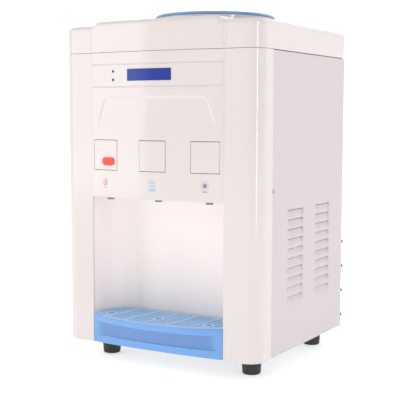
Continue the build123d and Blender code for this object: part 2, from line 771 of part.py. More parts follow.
with BuildPart() as drain_cap:
    with BuildSketch(Plane.XY.offset(cap_z[0])):
        with Locations((hot_x, hot_y)):
            Circle(cap_r)
            with PolarLocations(cap_r, 12):
                Circle(1.2)
    extrude(amount=cap_z[1] - cap_z[0])
    with BuildSketch(Plane.XY.offset(drain_low_z - gap)):
        with Locations((hot_x, hot_y)):
            Circle(drain_r + gap)
    extrude(amount=cap_z[1], mode=Mode.SUBTRACT)
drain_cap.part.label = "drain_cap"

with BuildPart() as hot_jacket:
    with BuildSketch(Plane.XY.offset(hot_z[0] - jacket_cap)):
        with Locations((hot_x, hot_y)):
            Circle(hot_jacket_r)
    extrude(amount=hot_z[1] - hot_z[0] + 4)
    with BuildSketch(Plane.XY.offset(hot_z[0] - gap)):
        with Locations((hot_x, hot_y)):
            Circle(hot_r + 4)
    extrude(amount=2 * (hot_z[1] - hot_z[0]), mode=Mode.SUBTRACT)
    with BuildSketch(Plane.XY.offset(hot_z[0] - jacket_cap - 1)):
        with Locations((hot_x, hot_y)):
            Circle(drain_r + 0.4)
        with Locations(hot_in):
            Circle(spout_r + 0.4)
    extrude(amount=2 * jacket_cap, mode=Mode.SUBTRACT)
hot_jacket.part.label = "hot_jacket"

with BuildPart() as heater_band:
    with BuildSketch(Plane.XY.offset(heater_z[0])):
        with Locations((hot_x, hot_y)):
            Circle(hot_r + gap + heater_t)
            Circle(hot_r + gap, mode=Mode.SUBTRACT)
        with Locations((hot_x, hot_y - hot_r)):
            Rectangle(3, 4 * heater_t, mode=Mode.SUBTRACT)
    extrude(amount=heater_z[1] - heater_z[0])
heater_band.part.label = "heater_band"

with BuildPart() as hot_thermostats:
    disc_h = 5.0
    tab_x = 4.0
    seats = [(hot_x - 14, hot_y + 10), (hot_x + 14, hot_y + 12)]
    with BuildSketch(Plane.XY.offset(hot_z[1] + 0.2)):
        with Locations(*seats):
            Circle(8)
    extrude(amount=disc_h)
    with BuildSketch(Plane.XY.offset(hot_z[1] + 0.2 + disc_h)):
        with Locations(*[(x + sx * tab_x, y) for x, y in seats for sx in (-1, 1)]):
            Rectangle(1, 5)
    extrude(amount=7)
hot_thermostats.part.label = "hot_thermostats"

feed_z = 84.0       # height at which the feed hose crosses to the hot tank
with BuildPart() as hot_tank_stand:
    stand_top_z = hot_z[0] - jacket_cap - gap
    stand_low_z = pan_z + 0.1
    stand_w = 84.0
    stand_d = 70.0
    with BuildSketch(Plane.XY.offset(stand_top_z - sheet)):
        with Locations((hot_x, hot_y)):
            Rectangle(stand_w, stand_d)
    extrude(amount=sheet)
    with BuildSketch(Plane.XY.offset(stand_low_z)):
        with Locations(*[(hot_x + sx * (stand_w - sheet) / 2, hot_y) for sx in (-1, 1)]):
            Rectangle(sheet, stand_d)
    extrude(amount=stand_top_z - stand_low_z)
    with BuildSketch(Plane.XY.offset(stand_low_z)):
        with Locations(*[(hot_x + sx * (stand_w / 2 - 5), hot_y) for sx in (-1, 1)]):
            Rectangle(10, stand_d)
    extrude(amount=sheet)
    with BuildSketch(Plane.XY.offset(stand_top_z - 3 * sheet)):
        with Locations((hot_x, hot_y)):
            Circle(drain_r + 1)
        with Locations(hot_in):
            Circle(hose_r + 1)
    extrude(amount=5 * sheet, mode=Mode.SUBTRACT)
    with BuildSketch(Plane.YZ.offset(hot_x + 30)):
        with Locations((feed_y, feed_z)):
            Circle(hose_r + 2)
    extrude(amount=20, mode=Mode.SUBTRACT)
hot_tank_stand.part.label = "hot_tank_stand"

# ---------------------------------------------------------------- compressor and refrigerant circuit
grommets = [(comp_x + sx * grommet_x, comp_y + sy * grommet_y) for sx in (-1, 1) for sy in (-1, 1)]

with BuildPart() as compressor:
    with BuildSketch(Plane.XY.offset(comp_z[0])):
        with Locations((comp_x, comp_y)):
            Circle(comp_r)
    extrude(amount=comp_z[1] - comp_z[0])
    fillet(compressor.edges().group_by(Axis.Z)[-1], comp_dome_r)
    fillet(compressor.edges().group_by(Axis.Z)[0], comp_foot_r)
    with BuildSketch(Plane.XY.offset(comp_seam_z[0])):
        with Locations((comp_x, comp_y)):
            Circle(comp_r + 2)
    extrude(amount=comp_seam_z[1] - comp_seam_z[0])
    with BuildSketch(Plane.XY.offset(grommet_z + 0.1)):
        with Locations((comp_x, comp_y)):
            RectangleRounded(comp_plate[0], comp_plate[1], 12)
    extrude(amount=comp_plate[2])
    with BuildSketch(Plane.XY.offset(comp_gas_z[0])):
        with Locations((comp_x, comp_y)):
            Circle(comp_r - comp_shell_t)
            Circle(pump_r, mode=Mode.SUBTRACT)
    extrude(amount=comp_gas_z[1] - comp_gas_z[0], mode=Mode.SUBTRACT)
    with BuildSketch(Plane.XY.offset(grommet_z - 1)):
        with Locations(*grommets):
            Circle(3.2)
    extrude(amount=2 * comp_plate[2], mode=Mode.SUBTRACT)
compressor.part.label = "compressor"

with BuildPart() as compressor_grommets:
    with BuildSketch(Plane.XY.offset(pan_z + 0.1)):
        with Locations(*grommets):
            Circle(7.5)
            Circle(3.0, mode=Mode.SUBTRACT)
    extrude(amount=grommet_z - pan_z - 0.1)
compressor_grommets.part.label = "compressor_grommets"

with BuildPart() as relay_cover:
    relay_w = 34.0
    relay_d = 22.0
    relay_low_z = comp_seam_z[1] + 2.0
    relay_y = comp_y - comp_r - gap
    with BuildSketch(Plane.XY.offset(relay_low_z)):
        with Locations((comp_x, relay_y - relay_d / 2)):
            RectangleRounded(relay_w, relay_d, 4)
    extrude(amount=30)
    with BuildSketch(Plane.XY.offset(relay_low_z + 2)):
        with Locations((comp_x, relay_y - relay_d / 2 + 1)):
            RectangleRounded(relay_w - 4, relay_d - 6, 3)
    extrude(amount=26, mode=Mode.SUBTRACT)
relay_cover.part.label = "relay_cover"

level_zs = [cond_top_z - i * cond_pitch for i in range(4)]
run_x = cond_half - cond_r
tail_y = back_face + 3.0
condenser_points = [(port_x, tail_y, port_high_z), (port_x, cond_outer_y, port_high_z),
                    (port_x, cond_outer_y, level_zs[0])]
for index, z in enumerate(level_zs):
    near, far = (cond_outer_y, cond_inner_y) if index % 2 == 0 else (cond_inner_y, cond_outer_y)
    if index:
        condenser_points.append((-run_x, near, z))
    condenser_points += [(run_x, near, z), (run_x, far, z)]
    if index < 3:
        condenser_points.append((-run_x, far, z))
condenser_points += [(port_x, cond_outer_y, level_zs[3]), (port_x, cond_outer_y, port_low_z),
                     (port_x, tail_y, port_low_z)]
bend_r = (cond_outer_y - cond_inner_y) / 2 - 0.1

with BuildPart() as condenser_tube:
    add(pipe(condenser_points, bend_r, cond_r))
condenser_tube.part.label = "condenser_tube"

with BuildPart() as condenser_wires:
    with BuildSketch(Plane.XY.offset(level_zs[3] - wire_over)):
        with Locations((0, wire_y)):
            with GridLocations(wire_pitch, 1, wire_count, 1):
                Circle(wire_r)
    extrude(amount=level_zs[0] - level_zs[3] + 2 * wire_over)
condenser_wires.part.label = "condenser_wires"

with BuildPart() as condenser_brackets:
    bracket_y = back_face + 0.1
    bracket_points = [(sx * bracket_x, z) for sx in (-1, 1) for z in level_zs[1:3]]
    with BuildSketch(Plane.XZ.offset(-bracket_y)):
        with Locations(*bracket_points):
            RectangleRounded(16, 12, 2)
    extrude(amount=-2.4)
    with BuildSketch(Plane.XZ.offset(-bracket_y)):
        with Locations(*bracket_points):
            Rectangle(10, 2 * cond_r)
    extrude(amount=-(cond_inner_y - cond_r - 0.2 - bracket_y))
condenser_brackets.part.label = "condenser_brackets"

with BuildPart() as filter_drier:
    spin = [(drier_x[0], 3.4), (drier_x[1], drier_r), (drier_x[2], drier_r), (drier_x[3], cond_r)]
    with BuildSketch(Plane.XY.offset(port_low_z)):
        with BuildLine():
            Polyline([(drier_x[0], drier_y)] + [(x, drier_y + r) for x, r in spin] + [(drier_x[3], drier_y)],
                     close=True)
        make_face()
    revolve(axis=Axis((0, drier_y, port_low_z), (1, 0, 0)))
filter_drier.part.label = "filter_drier"

riser_z = 200.0
suction_r = 3.5
capillary_r = 1.2
capillary_x = -8.0
capillary_far_x = 112.0     # where the capillary turns towards the cold tank
riser_y = 112.0
stub_y = tail_y - 0.2
jacket_x = jacket_in_r - 0.4
comp_out = (comp_x - 10, comp_y + 5)
comp_in = (comp_x + comp_r - 0.6, suction_xy[1], 128.0)
discharge = pipe([(*comp_out, comp_z[1] + 0.1), (*comp_out, riser_z), (comp_out[0], riser_y, riser_z),
                  (port_x, riser_y, riser_z), (port_x, riser_y, port_high_z), (port_x, stub_y, port_high_z)],
                 8, cond_r)
liquid = pipe([(port_x, stub_y, port_low_z), (port_x, drier_y, port_low_z),
               (drier_x[0] - 0.2, drier_y, port_low_z)], 7, cond_r)
suction = pipe([(jacket_x, seat_y, coil_z[0]), (suction_xy[0], seat_y, coil_z[0]), (*suction_xy, coil_z[0]),
                (*suction_xy, comp_in[2]), comp_in], 7, suction_r)

with BuildPart() as refrigerant_lines:
    add(discharge)
    add(liquid)
    add(suction)
refrigerant_lines.part.label = "refrigerant_lines"

with BuildPart() as capillary_tube:
    add(pipe([(drier_x[3] + 0.2, drier_y, port_low_z), (capillary_x, drier_y, port_low_z),
              (capillary_x, drier_y, coil_z[1]), (capillary_far_x, drier_y, coil_z[1]),
              (capillary_far_x, seat_y, coil_z[1]), (jacket_x, seat_y, coil_z[1])], 8, capillary_r))
capillary_tube.part.label = "capillary_tube"

# ---------------------------------------------------------------- hoses
tap_inlet_y = -114.0
start_z = spout_low_z - 0.1
hose_end_y = tap_inlet_y + 0.1
hose_bend = 8.5
cold_xy = cold_ports["cold"]
normal_xy = cold_ports["normal"]
feed_xy = cold_ports["feed"]
cold_hose = pipe([(*cold_xy, start_z), (*cold_xy, hose_z), (cold_xy[0], -70, hose_z), (tap_pitch, -92, hose_z),
                  (tap_pitch, hose_end_y, hose_z)], hose_bend, hose_r, hose_bore)
normal_hose = pipe([(*normal_xy, start_z), (*normal_xy, hose_z), (0, hose_end_y, hose_z)],
                   hose_bend, hose_r, hose_bore)
hot_hose = pipe([(*hot_out, hot_z[1] + hot_port_h + 0.1), (*hot_out, hose_z), (-tap_pitch, hose_end_y, hose_z)],
                hose_bend, hose_r, hose_bore)
feed_hose = pipe([(*feed_xy, start_z), (*feed_xy, feed_z), (*hot_in, feed_z),
                  (*hot_in, hot_z[0] - hot_port_h - 0.1)], 12, hose_r, hose_bore)

with BuildPart() as cold_water_hoses:
    add(cold_hose)
    add(normal_hose)
cold_water_hoses.part.label = "cold_water_hoses"

with BuildPart() as hot_water_hoses:
    add(hot_hose)
    add(feed_hose)
hot_water_hoses.part.label = "hot_water_hoses"

# ---------------------------------------------------------------- taps, plungers, springs and buttons
tap_parts = []
rail_top_z = bar_z - gap
flange_z = alcove_top_z + ceiling_gap + liner_wall + gap
cheek_len = tap_rear_y - tap_front_y
cheek_mid = (tap_front_y + tap_rear_y) / 2
for side, tx in (("hot", -tap_pitch), ("normal", 0.0), ("cold", tap_pitch)):
    face_y = fascia_y(tx)
    with BuildPart() as tap_body:
        with BuildSketch(Plane.XY.offset(flange_z)):
            with Locations((tx, tap_rear_y)):
                Rectangle(tap_flange, cheek_len + 4, align=(Align.CENTER, Align.MAX))
        extrude(amount=3)
        with BuildSketch(Plane.XY.offset(flange_z)):
            with Locations((tx, tap_y)):
                Circle(tap_body_r)
        extrude(amount=tap_top_z - flange_z)
        with BuildSketch(Plane.XY.offset(flange_z)):
            with Locations(*[(tx + sx * tap_cheek_x, cheek_mid) for sx in (-1, 1)]):
                Rectangle(tap_cheek_t, cheek_len)
        extrude(amount=tap_cheek_z - flange_z)
        with BuildSketch(Plane.XY.offset(tap_bridge_z[0])):
            with Locations((tx, cheek_mid)):
                Rectangle(2 * tap_cheek_x + 2, cheek_len)
        extrude(amount=tap_bridge_z[1] - tap_bridge_z[0])
        with BuildSketch(Plane.XY.offset(tap_bridge_z[0])):
            with Locations((tx, tap_rear_y)):
                Rectangle(2 * tap_cheek_x + 2, 2.4, align=(Align.CENTER, Align.MAX))
        extrude(amount=tap_cheek_z - tap_bridge_z[0])
        with BuildSketch(Plane.XY.offset(nozzle_tip_z)):
            with Locations((tx, tap_y)):
                Circle(nozzle_r)
        extrude(amount=12)
        with BuildSketch(Plane.XZ.offset(-tap_inlet_y)):
            with Locations((tx, hose_z)):
                Circle(spout_r)
        extrude(amount=tap_inlet_y - tap_y - 2)
        with BuildSketch(Plane.XZ.offset(-tap_inlet_y)):
            with Locations((tx, hose_z)):
                Circle(hose_bore)
        extrude(amount=tap_inlet_y - tap_y, mode=Mode.SUBTRACT)
        with BuildSketch(Plane.XY.offset(nozzle_tip_z)):
            with Locations((tx, tap_y)):
                Circle(nozzle_r - 1.8)
        extrude(amount=valve_z - nozzle_tip_z + 1, mode=Mode.SUBTRACT)
        with BuildSketch(Plane.XY.offset(valve_z)):
            with Locations((tx, tap_y)):
                Circle(valve_r + 0.6)
        extrude(amount=14, mode=Mode.SUBTRACT)
        with BuildSketch(Plane.XY.offset(valve_z)):
            with Locations((tx, tap_y)):
                Circle(plunger_r + 0.08)
        extrude(amount=tap_cheek_z - valve_z, mode=Mode.SUBTRACT)
    tap_body.part.label = f"tap_body_{side}"

    with BuildPart() as plunger:
        with BuildSketch(Plane.XY.offset(valve_z + 0.2)):
            with Locations((tx, tap_y)):
                Circle(valve_r)
        extrude(amount=3)
        with BuildSketch(Plane.XY.offset(valve_z + 2)):
            with Locations((tx, tap_y)):
                Circle(plunger_r)
        extrude(amount=bar_z + 3 - valve_z - 2)
        with BuildSketch(Plane.XY.offset(bar_z)):
            with Locations((tx, tap_y)):
                Rectangle(bar_size[0], bar_size[1])
        extrude(amount=bar_size[2])
    plunger.part.label = f"valve_plunger_{side}"

    ramp_y = tap_y - bar_size[1] / 2        # where the ramps meet the cross bar
    rail_y = face_y + 1.5
    with BuildPart() as button:
        with BuildSketch(Plane.XY.offset(button_z - button_size / 2)):
            add(bow_strip(tx - button_size / 2, tx + button_size / 2, -button_proud, button_t - button_proud))
        extrude(amount=button_size)
        for sx in (-1, 1):
            with BuildSketch(Plane.YZ.offset(tx + sx * rail_x - rail_t / 2)):
                with BuildLine():
                    Polyline((rail_y, rail_foot_z), (rail_back_y, rail_foot_z), (rail_back_y, rail_top_z),
                             (ramp_y, rail_top_z),
                             (rail_y, rail_top_z + button_lift_ratio * (ramp_y - rail_y)), close=True)
                make_face()
            extrude(amount=rail_t)
        with BuildSketch(Plane.XY.offset(rail_foot_z)):
            with Locations((tx, rail_back_y)):
                Rectangle(2 * rail_x + rail_t, 2, align=(Align.CENTER, Align.MAX))
        extrude(amount=rail_top_z - rail_foot_z)
        if side == "hot":
            tilt = degrees(atan2(fascia_y(lock_x + 0.01) - fascia_y(lock_x - 0.01), 0.02))
            lock_plane = Plane(origin=(lock_x, fascia_y(lock_x, -button_proud), lock_z),
                               x_dir=(cos(radians(tilt)), sin(radians(tilt)), 0),
                               z_dir=(sin(radians(tilt)), -cos(radians(tilt)), 0))
            with BuildSketch(lock_plane.offset(2)):
                with Locations((-lock_travel / 2, 0)):
                    Rectangle(lock_stem + lock_travel + 0.6, lock_stem + 0.6)
            extrude(amount=-8, mode=Mode.SUBTRACT)
            with BuildSketch(lock_plane.offset(-button_t)):
                with Locations((-lock_travel / 2, 0)):
                    Rectangle(lock_catch + lock_travel + 2, lock_catch + 1.6)
            extrude(amount=-2.2, mode=Mode.SUBTRACT)
    button.part.label = f"button_{side}"

    with BuildPart() as spring:
        with BuildLine() as wind:
            Helix(pitch=1.5, height=7.5, radius=spring_r, center=(tx, rail_back_y + 0.5, spring_z),
                  direction=(0, 1, 0))
        with BuildSketch(Plane(wind.line @ 0, z_dir=wind.line % 0)):
            Circle(spring_wire_r)
        sweep(is_frenet=True)
    spring.part.label = f"button_spring_{side}"
    tap_parts += [tap_body, plunger, button, spring]

with BuildPart() as child_lock:
    catch_t = 1.2
    stem_len = button_t + gap + catch_t
    with BuildSketch(lock_plane.offset(gap)):
        SlotOverall(lock_w, lock_h)
    extrude(amount=lock_t)
    with BuildSketch(lock_plane.offset(gap + lock_t)):
        with Locations(*[(i * 4.0, 0) for i in (-1, 0, 1)]):
            RectangleRounded(1.4, 7, 0.6)
    extrude(amount=0.6)
    with BuildSketch(lock_plane.offset(gap)):
        Rectangle(lock_stem, lock_stem)
    extrude(amount=-(gap + stem_len))
    with BuildSketch(lock_plane.offset(-stem_len)):
        Rectangle(lock_catch, lock_catch)
    extrude(amount=catch_t)
child_lock.part.label = "child_lock"

# ---------------------------------------------------------------- electrics
with BuildPart() as indicator_leds:
    lens_back = y_front + wall
    with BuildSketch(Plane.XZ.offset(-lens_back)):
        with Locations(*[(led_x, z) for z in led_zs]):
            Circle(led_r)
    extrude(amount=lens_back - fascia_y(led_x) + 0.5)
indicator_leds.part.label = "indicator_leds"

with BuildPart() as indicator_board:
    with BuildSketch(Plane.XZ.offset(-(lens_back + 0.2))):
        with Locations((led_x, led_z)):
            RectangleRounded(board_size[0], board_size[1], 2)
    extrude(amount=-board_size[2])
indicator_board.part.label = "indicator_board"

rim_y = back_face + 0.1
rocker_axis_y = back_face - 3.0
with BuildPart() as switch_frames:
    for x in switch_xs:
        with BuildSketch(Plane.XZ.offset(-rim_y)):
            with Locations((x, switch_z)):
                RectangleRounded(switch_size[0], switch_size[1], 1.5)
        extrude(amount=-2.2)
        with BuildSketch(Plane.XZ.offset(-rim_y)):
            with Locations((x, switch_z)):
                Rectangle(switch_body[0], switch_body[1])
        extrude(amount=15)
        with BuildSketch(Plane.XZ.offset(-(rim_y + 4.9))):
            with Locations((x, switch_z)):
                Rectangle(switch_well[0], switch_well[1])
        extrude(amount=17.5, mode=Mode.SUBTRACT)
switch_frames.part.label = "switch_frames"

rockers = []
for name, x in zip(("hot", "cold"), switch_xs):
    with BuildPart() as rocker:
        rocker_h = 9.0
        with BuildSketch(Plane.YZ.offset(x - rocker_w / 2)):
            with Locations((rocker_axis_y, switch_z)):
                Circle(rocker_r)
            with Locations(Location((rocker_axis_y, switch_z, 0), (0, 0, -8))):
                Polygon((-4, -rocker_h), (6.6, -rocker_h), (4.6, 0), (6.6, rocker_h), (-4, rocker_h),
                        align=None, mode=Mode.INTERSECT)
        extrude(amount=rocker_w)
    rocker.part.label = f"rocker_{name}"
    rockers.append(rocker)

with BuildPart() as cord_gland:
    with BuildSketch(Plane.XZ.offset(-rim_y)):
        with Locations((gland_x, switch_z)):
            Circle(gland_r)
            Circle(cord_r, mode=Mode.SUBTRACT)
    extrude(amount=-4.0)
    with BuildSketch(Plane.XZ.offset(-rim_y)):
        with Locations((gland_x, switch_z)):
            Circle(cord_r + wall - 0.2)
            Circle(cord_r, mode=Mode.SUBTRACT)
    extrude(amount=8.0)
cord_gland.part.label = "cord_gland"

with BuildPart() as screws:
    side_head_r = 2.6
    rear_head_r = 3.4
    foot_head_r = 4.0
    foot_head_h = 2.4
    foot_points = [(sx * foot_x, fy) for sx in (-1, 1) for fy in foot_ys]
    for sx in (-1, 1):
        with BuildSketch(Plane.YZ.offset(sx * (face_x + 0.05))):
            with Locations((side_seam_y + 5.5, side_screw_z)):
                Circle(side_head_r)
        extrude(amount=sx * 1.1)
    with BuildSketch(Plane.XZ.offset(-(y_back + 0.05))):
        with Locations(*[(sx * (face_x - rear_flange / 2), z) for sx in (-1, 1) for z in rear_screw_zs]):
            Circle(rear_head_r)
    extrude(amount=-1.6)
    with BuildSketch(Plane.XY.offset(foot_recess_z - foot_head_h - 0.2)):
        with Locations(*foot_points):
            Circle(foot_head_r)
    extrude(amount=foot_head_h)
    with BuildSketch(Plane.XY.offset(foot_recess_z - 1)):
        with Locations(*foot_points):
            Circle(foot_bolt_r)
    extrude(amount=pan_z + 3 - foot_recess_z + 1)
screws.part.label = "screws"

os.makedirs("parts", exist_ok=True)
for node in (base_pan, *feet, front_panel, badge_plate, *side_panels, back_panel, alcove_liner, drip_tray,
             drip_grille, top_cover, bottle_collar, bottle_seat, cold_tank, tank_lid, seat_gasket, cold_baffle,
             evaporator_coil, tank_insulation, tank_shelf, hot_tank, drain_cap, hot_jacket, heater_band,
             hot_thermostats, hot_tank_stand, compressor, compressor_grommets, relay_cover, condenser_tube,
             condenser_wires, condenser_brackets, filter_drier, refrigerant_lines, capillary_tube,
             cold_water_hoses, hot_water_hoses, *tap_parts, child_lock, indicator_leds, indicator_board,
             switch_frames, *rockers, cord_gland, screws):
    export_step(node.part, f"parts/{node.part.label}.step")
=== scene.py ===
"""Finish of the countertop water dispenser: mouldings, sheet metal, tray, marks, materials and studio.

Every piece is in metres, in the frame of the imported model, and rides on one of its bodies.
"""

import json
from math import cos, pi, radians, sin, tau

import bmesh
import bpy
import numpy as np
from bpy.props import FloatProperty, FloatVectorProperty, PointerProperty
from mathutils import Matrix, Vector


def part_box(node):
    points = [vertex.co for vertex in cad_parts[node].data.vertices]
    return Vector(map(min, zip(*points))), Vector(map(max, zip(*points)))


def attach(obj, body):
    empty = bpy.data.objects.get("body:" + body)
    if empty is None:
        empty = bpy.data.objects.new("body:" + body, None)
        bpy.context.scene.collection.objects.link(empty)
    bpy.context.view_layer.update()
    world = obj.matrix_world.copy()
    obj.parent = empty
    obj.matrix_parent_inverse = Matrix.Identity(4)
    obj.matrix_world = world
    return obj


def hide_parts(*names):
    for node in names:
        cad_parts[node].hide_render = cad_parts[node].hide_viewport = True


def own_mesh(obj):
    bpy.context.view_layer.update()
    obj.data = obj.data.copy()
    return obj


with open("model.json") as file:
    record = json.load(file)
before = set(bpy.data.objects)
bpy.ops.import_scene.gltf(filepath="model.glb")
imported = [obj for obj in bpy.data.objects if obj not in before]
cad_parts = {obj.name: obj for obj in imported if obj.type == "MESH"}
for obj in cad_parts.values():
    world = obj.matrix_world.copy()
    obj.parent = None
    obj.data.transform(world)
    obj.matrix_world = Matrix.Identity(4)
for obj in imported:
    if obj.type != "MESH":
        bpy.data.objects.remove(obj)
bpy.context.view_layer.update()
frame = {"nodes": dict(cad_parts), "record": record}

bl_info = {
    "name": "Countertop water dispenser finish",
    "version": (1, 0, 0),
    "blender": (4, 5, 0),
    "location": "3D View > Sidebar > Dispenser",
    "description": "Builds the finished surfaces, materials and studio of a countertop water dispenser",
    "category": "Object",
}

MM = 0.001
FRONT_LOW, FRONT_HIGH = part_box("front_panel")
LINER_LOW, LINER_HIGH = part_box("alcove_liner")
SIDE_LOW, SIDE_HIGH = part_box("side_panel_right")
TRAY_LOW, TRAY_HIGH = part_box("drip_tray")
SEAT_LOW, SEAT_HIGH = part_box("bottle_seat")
BUTTON_LOW, BUTTON_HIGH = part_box("button_normal")
BADGE_LOW, BADGE_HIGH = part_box("badge_plate")
LED_LOW, LED_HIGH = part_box("indicator_leds")
TAPS = {"hot": -0.079, "normal": 0.0, "cold": 0.079}


def linear(code):
    """Turns an sRGB hex colour into linear red, green and blue."""
    parts = [int(code[i:i + 2], 16) / 255 for i in (1, 3, 5)]
    return tuple(c / 12.92 if c <= 0.04045 else ((c + 0.055) / 1.055) ** 2.4 for c in parts)


def length(name, description, default_mm):
    """A length property, given in millimetres."""
    return FloatProperty(name=name, description=description, default=default_mm * MM, min=0.0,
                         precision=4, unit="LENGTH", subtype="DISTANCE")


def colour(name, description, code):
    """A colour property, given as an sRGB hex code."""
    return FloatVectorProperty(name=name, description=description, default=linear(code), size=3,
                               min=0.0, max=1.0, subtype="COLOR")


class DispenserSizes(bpy.types.PropertyGroup):
    """Sizes of the finished surfaces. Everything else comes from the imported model."""

    bulge: length("Fascia bulge", "How far the fascia bows out past the pillars", 8)
    corner: length("Corner radius", "Radius of the pillars' outer corners", 22)
    wall: length("Moulding wall", "Wall of the front moulding", 3)
    edge: length("Edge radius", "Rounding of moulded edges", 0.8)
    alcove_top: length("Alcove top", "Height of the fascia's lower edge", 235)
    window_gap: length("Button gap", "Clearance round each push button", 0.7)
    travel: length("Button travel", "How far a push button goes in, and shortens its spring", 4)
    step: length("Fascia step", "How far the fascia's ends stand out from the pillars", 1.2)
    cover_step: length("Cover step", "The same step on the top cover", 2.2)
    cover_edge: length("Cover edge", "Radius of the top cover's upper edge", 7)
    groove: length("Groove width", "Width of the two grooves that frame the indicator strip", 1.4)
    groove_depth: length("Groove depth", "Depth of those grooves", 0.9)
    hollow_depth: length("Hollow depth", "Depth of the hollow over the buttons, at its upper edge", 1.3)
    louvre_depth: length("Louvre depth", "How far each louvre is pressed in", 2.0)
    slit: length("Louvre slit", "Height of the slit along the top of each louvre", 0.9)
    sheet: length("Sheet thickness", "Thickness of the side sheets", 1.2)
    band_depth: length("Tray band depth", "Depth of the dark band round the tray's front", 1.6)
    rim: length("Tray rim", "Width of the drip tray's rim", 2.4)


class DispenserColours(bpy.types.PropertyGroup):
    """Colours of the visible finishes."""

    shell: colour("Shell", "Glossy mouldings of the cabinet", "#DCD3D1")
    # the alcove's own white, set lighter than the shell's as painted light for the shaded alcove
    liner: colour("Alcove", "Satin lining of the alcove", "#FAF1EE")
    sheet: colour("Side sheets", "Powder coat of the side sheets", "#CBC2C4")
    rear: colour("Rear sheet", "Powder coat of the back", "#C2BFBD")
    tray: colour("Tray", "Drip tray, grille and bottle seat", "#6C9FDA")
    band: colour("Tray band", "Etched band round the tray's front", "#668AC0")
    badge: colour("Badge", "Blank name plate", "#1A3592")
    lock: colour("Child lock", "Latch on the hot button", "#F4472F")
    rubber: colour("Rubber", "Feet and grommets", "#2A252B")


class DispenserStudio(bpy.types.PropertyGroup):
    """Camera and light."""

    azimuth: FloatProperty(name="Azimuth", description="Camera angle round the part", default=radians(30.215),
                           subtype="ANGLE", unit="ROTATION")
    elevation: FloatProperty(name="Elevation", description="Camera angle above the counter",
                             default=radians(5.504), subtype="ANGLE", unit="ROTATION")
    roll: FloatProperty(name="Roll", description="Camera roll", default=radians(0.156), subtype="ANGLE",
                        unit="ROTATION")
    distance: length("Distance", "Camera distance from its aim point", 1395.8)
    aim: FloatVectorProperty(name="Aim", description="Point that the camera looks at",
                             default=(0.0015, -0.0067, 0.2131), size=3, subtype="TRANSLATION", unit="LENGTH")
    lens: FloatProperty(name="Lens", description="Focal length on a 36 mm wide sensor", default=82.51,
                        unit="CAMERA")
    key: FloatProperty(name="Key light", description="Power of the large light on the left", default=13.0,
                       min=0.0, unit="POWER")
    strip: FloatProperty(name="Strip light", description="Power of the tall narrow light on the right",
                         default=8.0, min=0.0, unit="POWER")
    top: FloatProperty(name="Top light", description="Power of the overhead light", default=5.0, min=0.0,
                       unit="POWER")
    room: FloatProperty(name="Room light", description="Brightness of the room on the left", default=0.9,
                        min=0.0)
    shade: FloatProperty(name="Room shade", description="Brightness of the room on the right", default=0.42,
                         min=0.0)


def sizes():
    """The sizes that the operators read."""
    return bpy.context.scene.dispenser_sizes


def colours():
    """The colours that the operators read."""
    return bpy.context.scene.dispenser_colours


# ---------------------------------------------------------------- materials
def node(tree, kind, inputs=None, **settings):
    """Adds a node, sets its settings and inputs, and links any input that is given as a socket."""
    made = tree.nodes.new(kind)
    for key, value in settings.items():
        setattr(made, key, value)
    for key, value in (inputs or {}).items():
        if isinstance(value, bpy.types.NodeSocket):
            tree.links.new(value, made.inputs[key])
        else:
            made.inputs[key].default_value = value
    return made


def finish_of(name, base, roughness, metallic=0.0, ior=1.5, cloud=(60.0, 0.02), grain=(1.5, 0.02),
              ripple=None, stretch=(1.0, 1.0, 1.0), cells=False, spread=0.04, crest=None, **extra):
    """A finish in three layers: cloud shifts the colour, grain is fine texture, ripple slow waviness.

    cloud is (feature size in mm, share of the colour); grain and ripple are (feature size, depth) in mm.
    crest is (height where it starts, height where it is full, colour): a painted highlight that blends crests
    into a lighter colour.
    """
    if name in bpy.data.materials:
        return bpy.data.materials[name]
    material = bpy.data.materials.new(name)
    material.use_nodes = True
    material.diffuse_color = (*base, 1.0)
    tree = material.node_tree
    tree.nodes.clear()
    object_place = node(tree, "ShaderNodeTexCoord").outputs["Object"]
    place = node(tree, "ShaderNodeMapping", {"Vector": object_place, "Scale": stretch}).outputs["Vector"]
    drift = node(tree, "ShaderNodeTexNoise", {"Vector": place, "Scale": 1 / (cloud[0] * MM), "Detail": 3.0})
    tint = node(tree, "ShaderNodeMix", {
        "Factor": drift.outputs["Fac"],
        "A": (*[c * (1 - cloud[1]) for c in base], 1.0),
        "B": (*[min(c * (1 + cloud[1]), 1.0) for c in base], 1.0)}, data_type="RGBA")
    # painted highlight: crests above the given height are coloured lighter
    if crest:
        start, full, crest_highlight = crest
        height = node(tree, "ShaderNodeSeparateXYZ", {"Vector": object_place}).outputs["Z"]
        share = node(tree, "ShaderNodeMapRange", {"Value": height, "From Min": start, "From Max": full})
        tint = node(tree, "ShaderNodeMix", {"Factor": share.outputs["Result"], "A": tint.outputs["Result"],
                                            "B": (*crest_highlight, 1.0)}, data_type="RGBA")
    per_metre = 1 / (grain[0] * MM)
    if cells:
        fine = node(tree, "ShaderNodeTexVoronoi", {"Vector": place, "Scale": per_metre}, feature="F1")
        height = fine.outputs["Distance"]
    else:
        fine = node(tree, "ShaderNodeTexNoise", {"Vector": place, "Scale": per_metre, "Detail": 2.0})
        height = fine.outputs["Fac"]
    rough = node(tree, "ShaderNodeMapRange", {
        "Value": height, "To Min": max(roughness - spread, 0.02), "To Max": min(roughness + spread, 1.0)})
    bump = node(tree, "ShaderNodeBump", {"Height": height, "Strength": 1.0, "Distance": grain[1] * MM})
    if ripple:
        wave = node(tree, "ShaderNodeTexNoise", {
            "Vector": place, "Scale": 1 / (ripple[0] * MM), "Detail": 0.0})
        bump = node(tree, "ShaderNodeBump", {
            "Height": wave.outputs["Fac"], "Strength": 1.0, "Distance": ripple[1] * MM,
            "Normal": bump.outputs["Normal"]})
    shader = node(tree, "ShaderNodeBsdfPrincipled", {
        "Base Color": tint.outputs["Result"], "Roughness": rough.outputs["Result"], "Metallic": metallic,
        "IOR": ior, "Normal": bump.outputs["Normal"], **extra})
    node(tree, "ShaderNodeOutputMaterial", {"Surface": shader.outputs["BSDF"]})
    return material


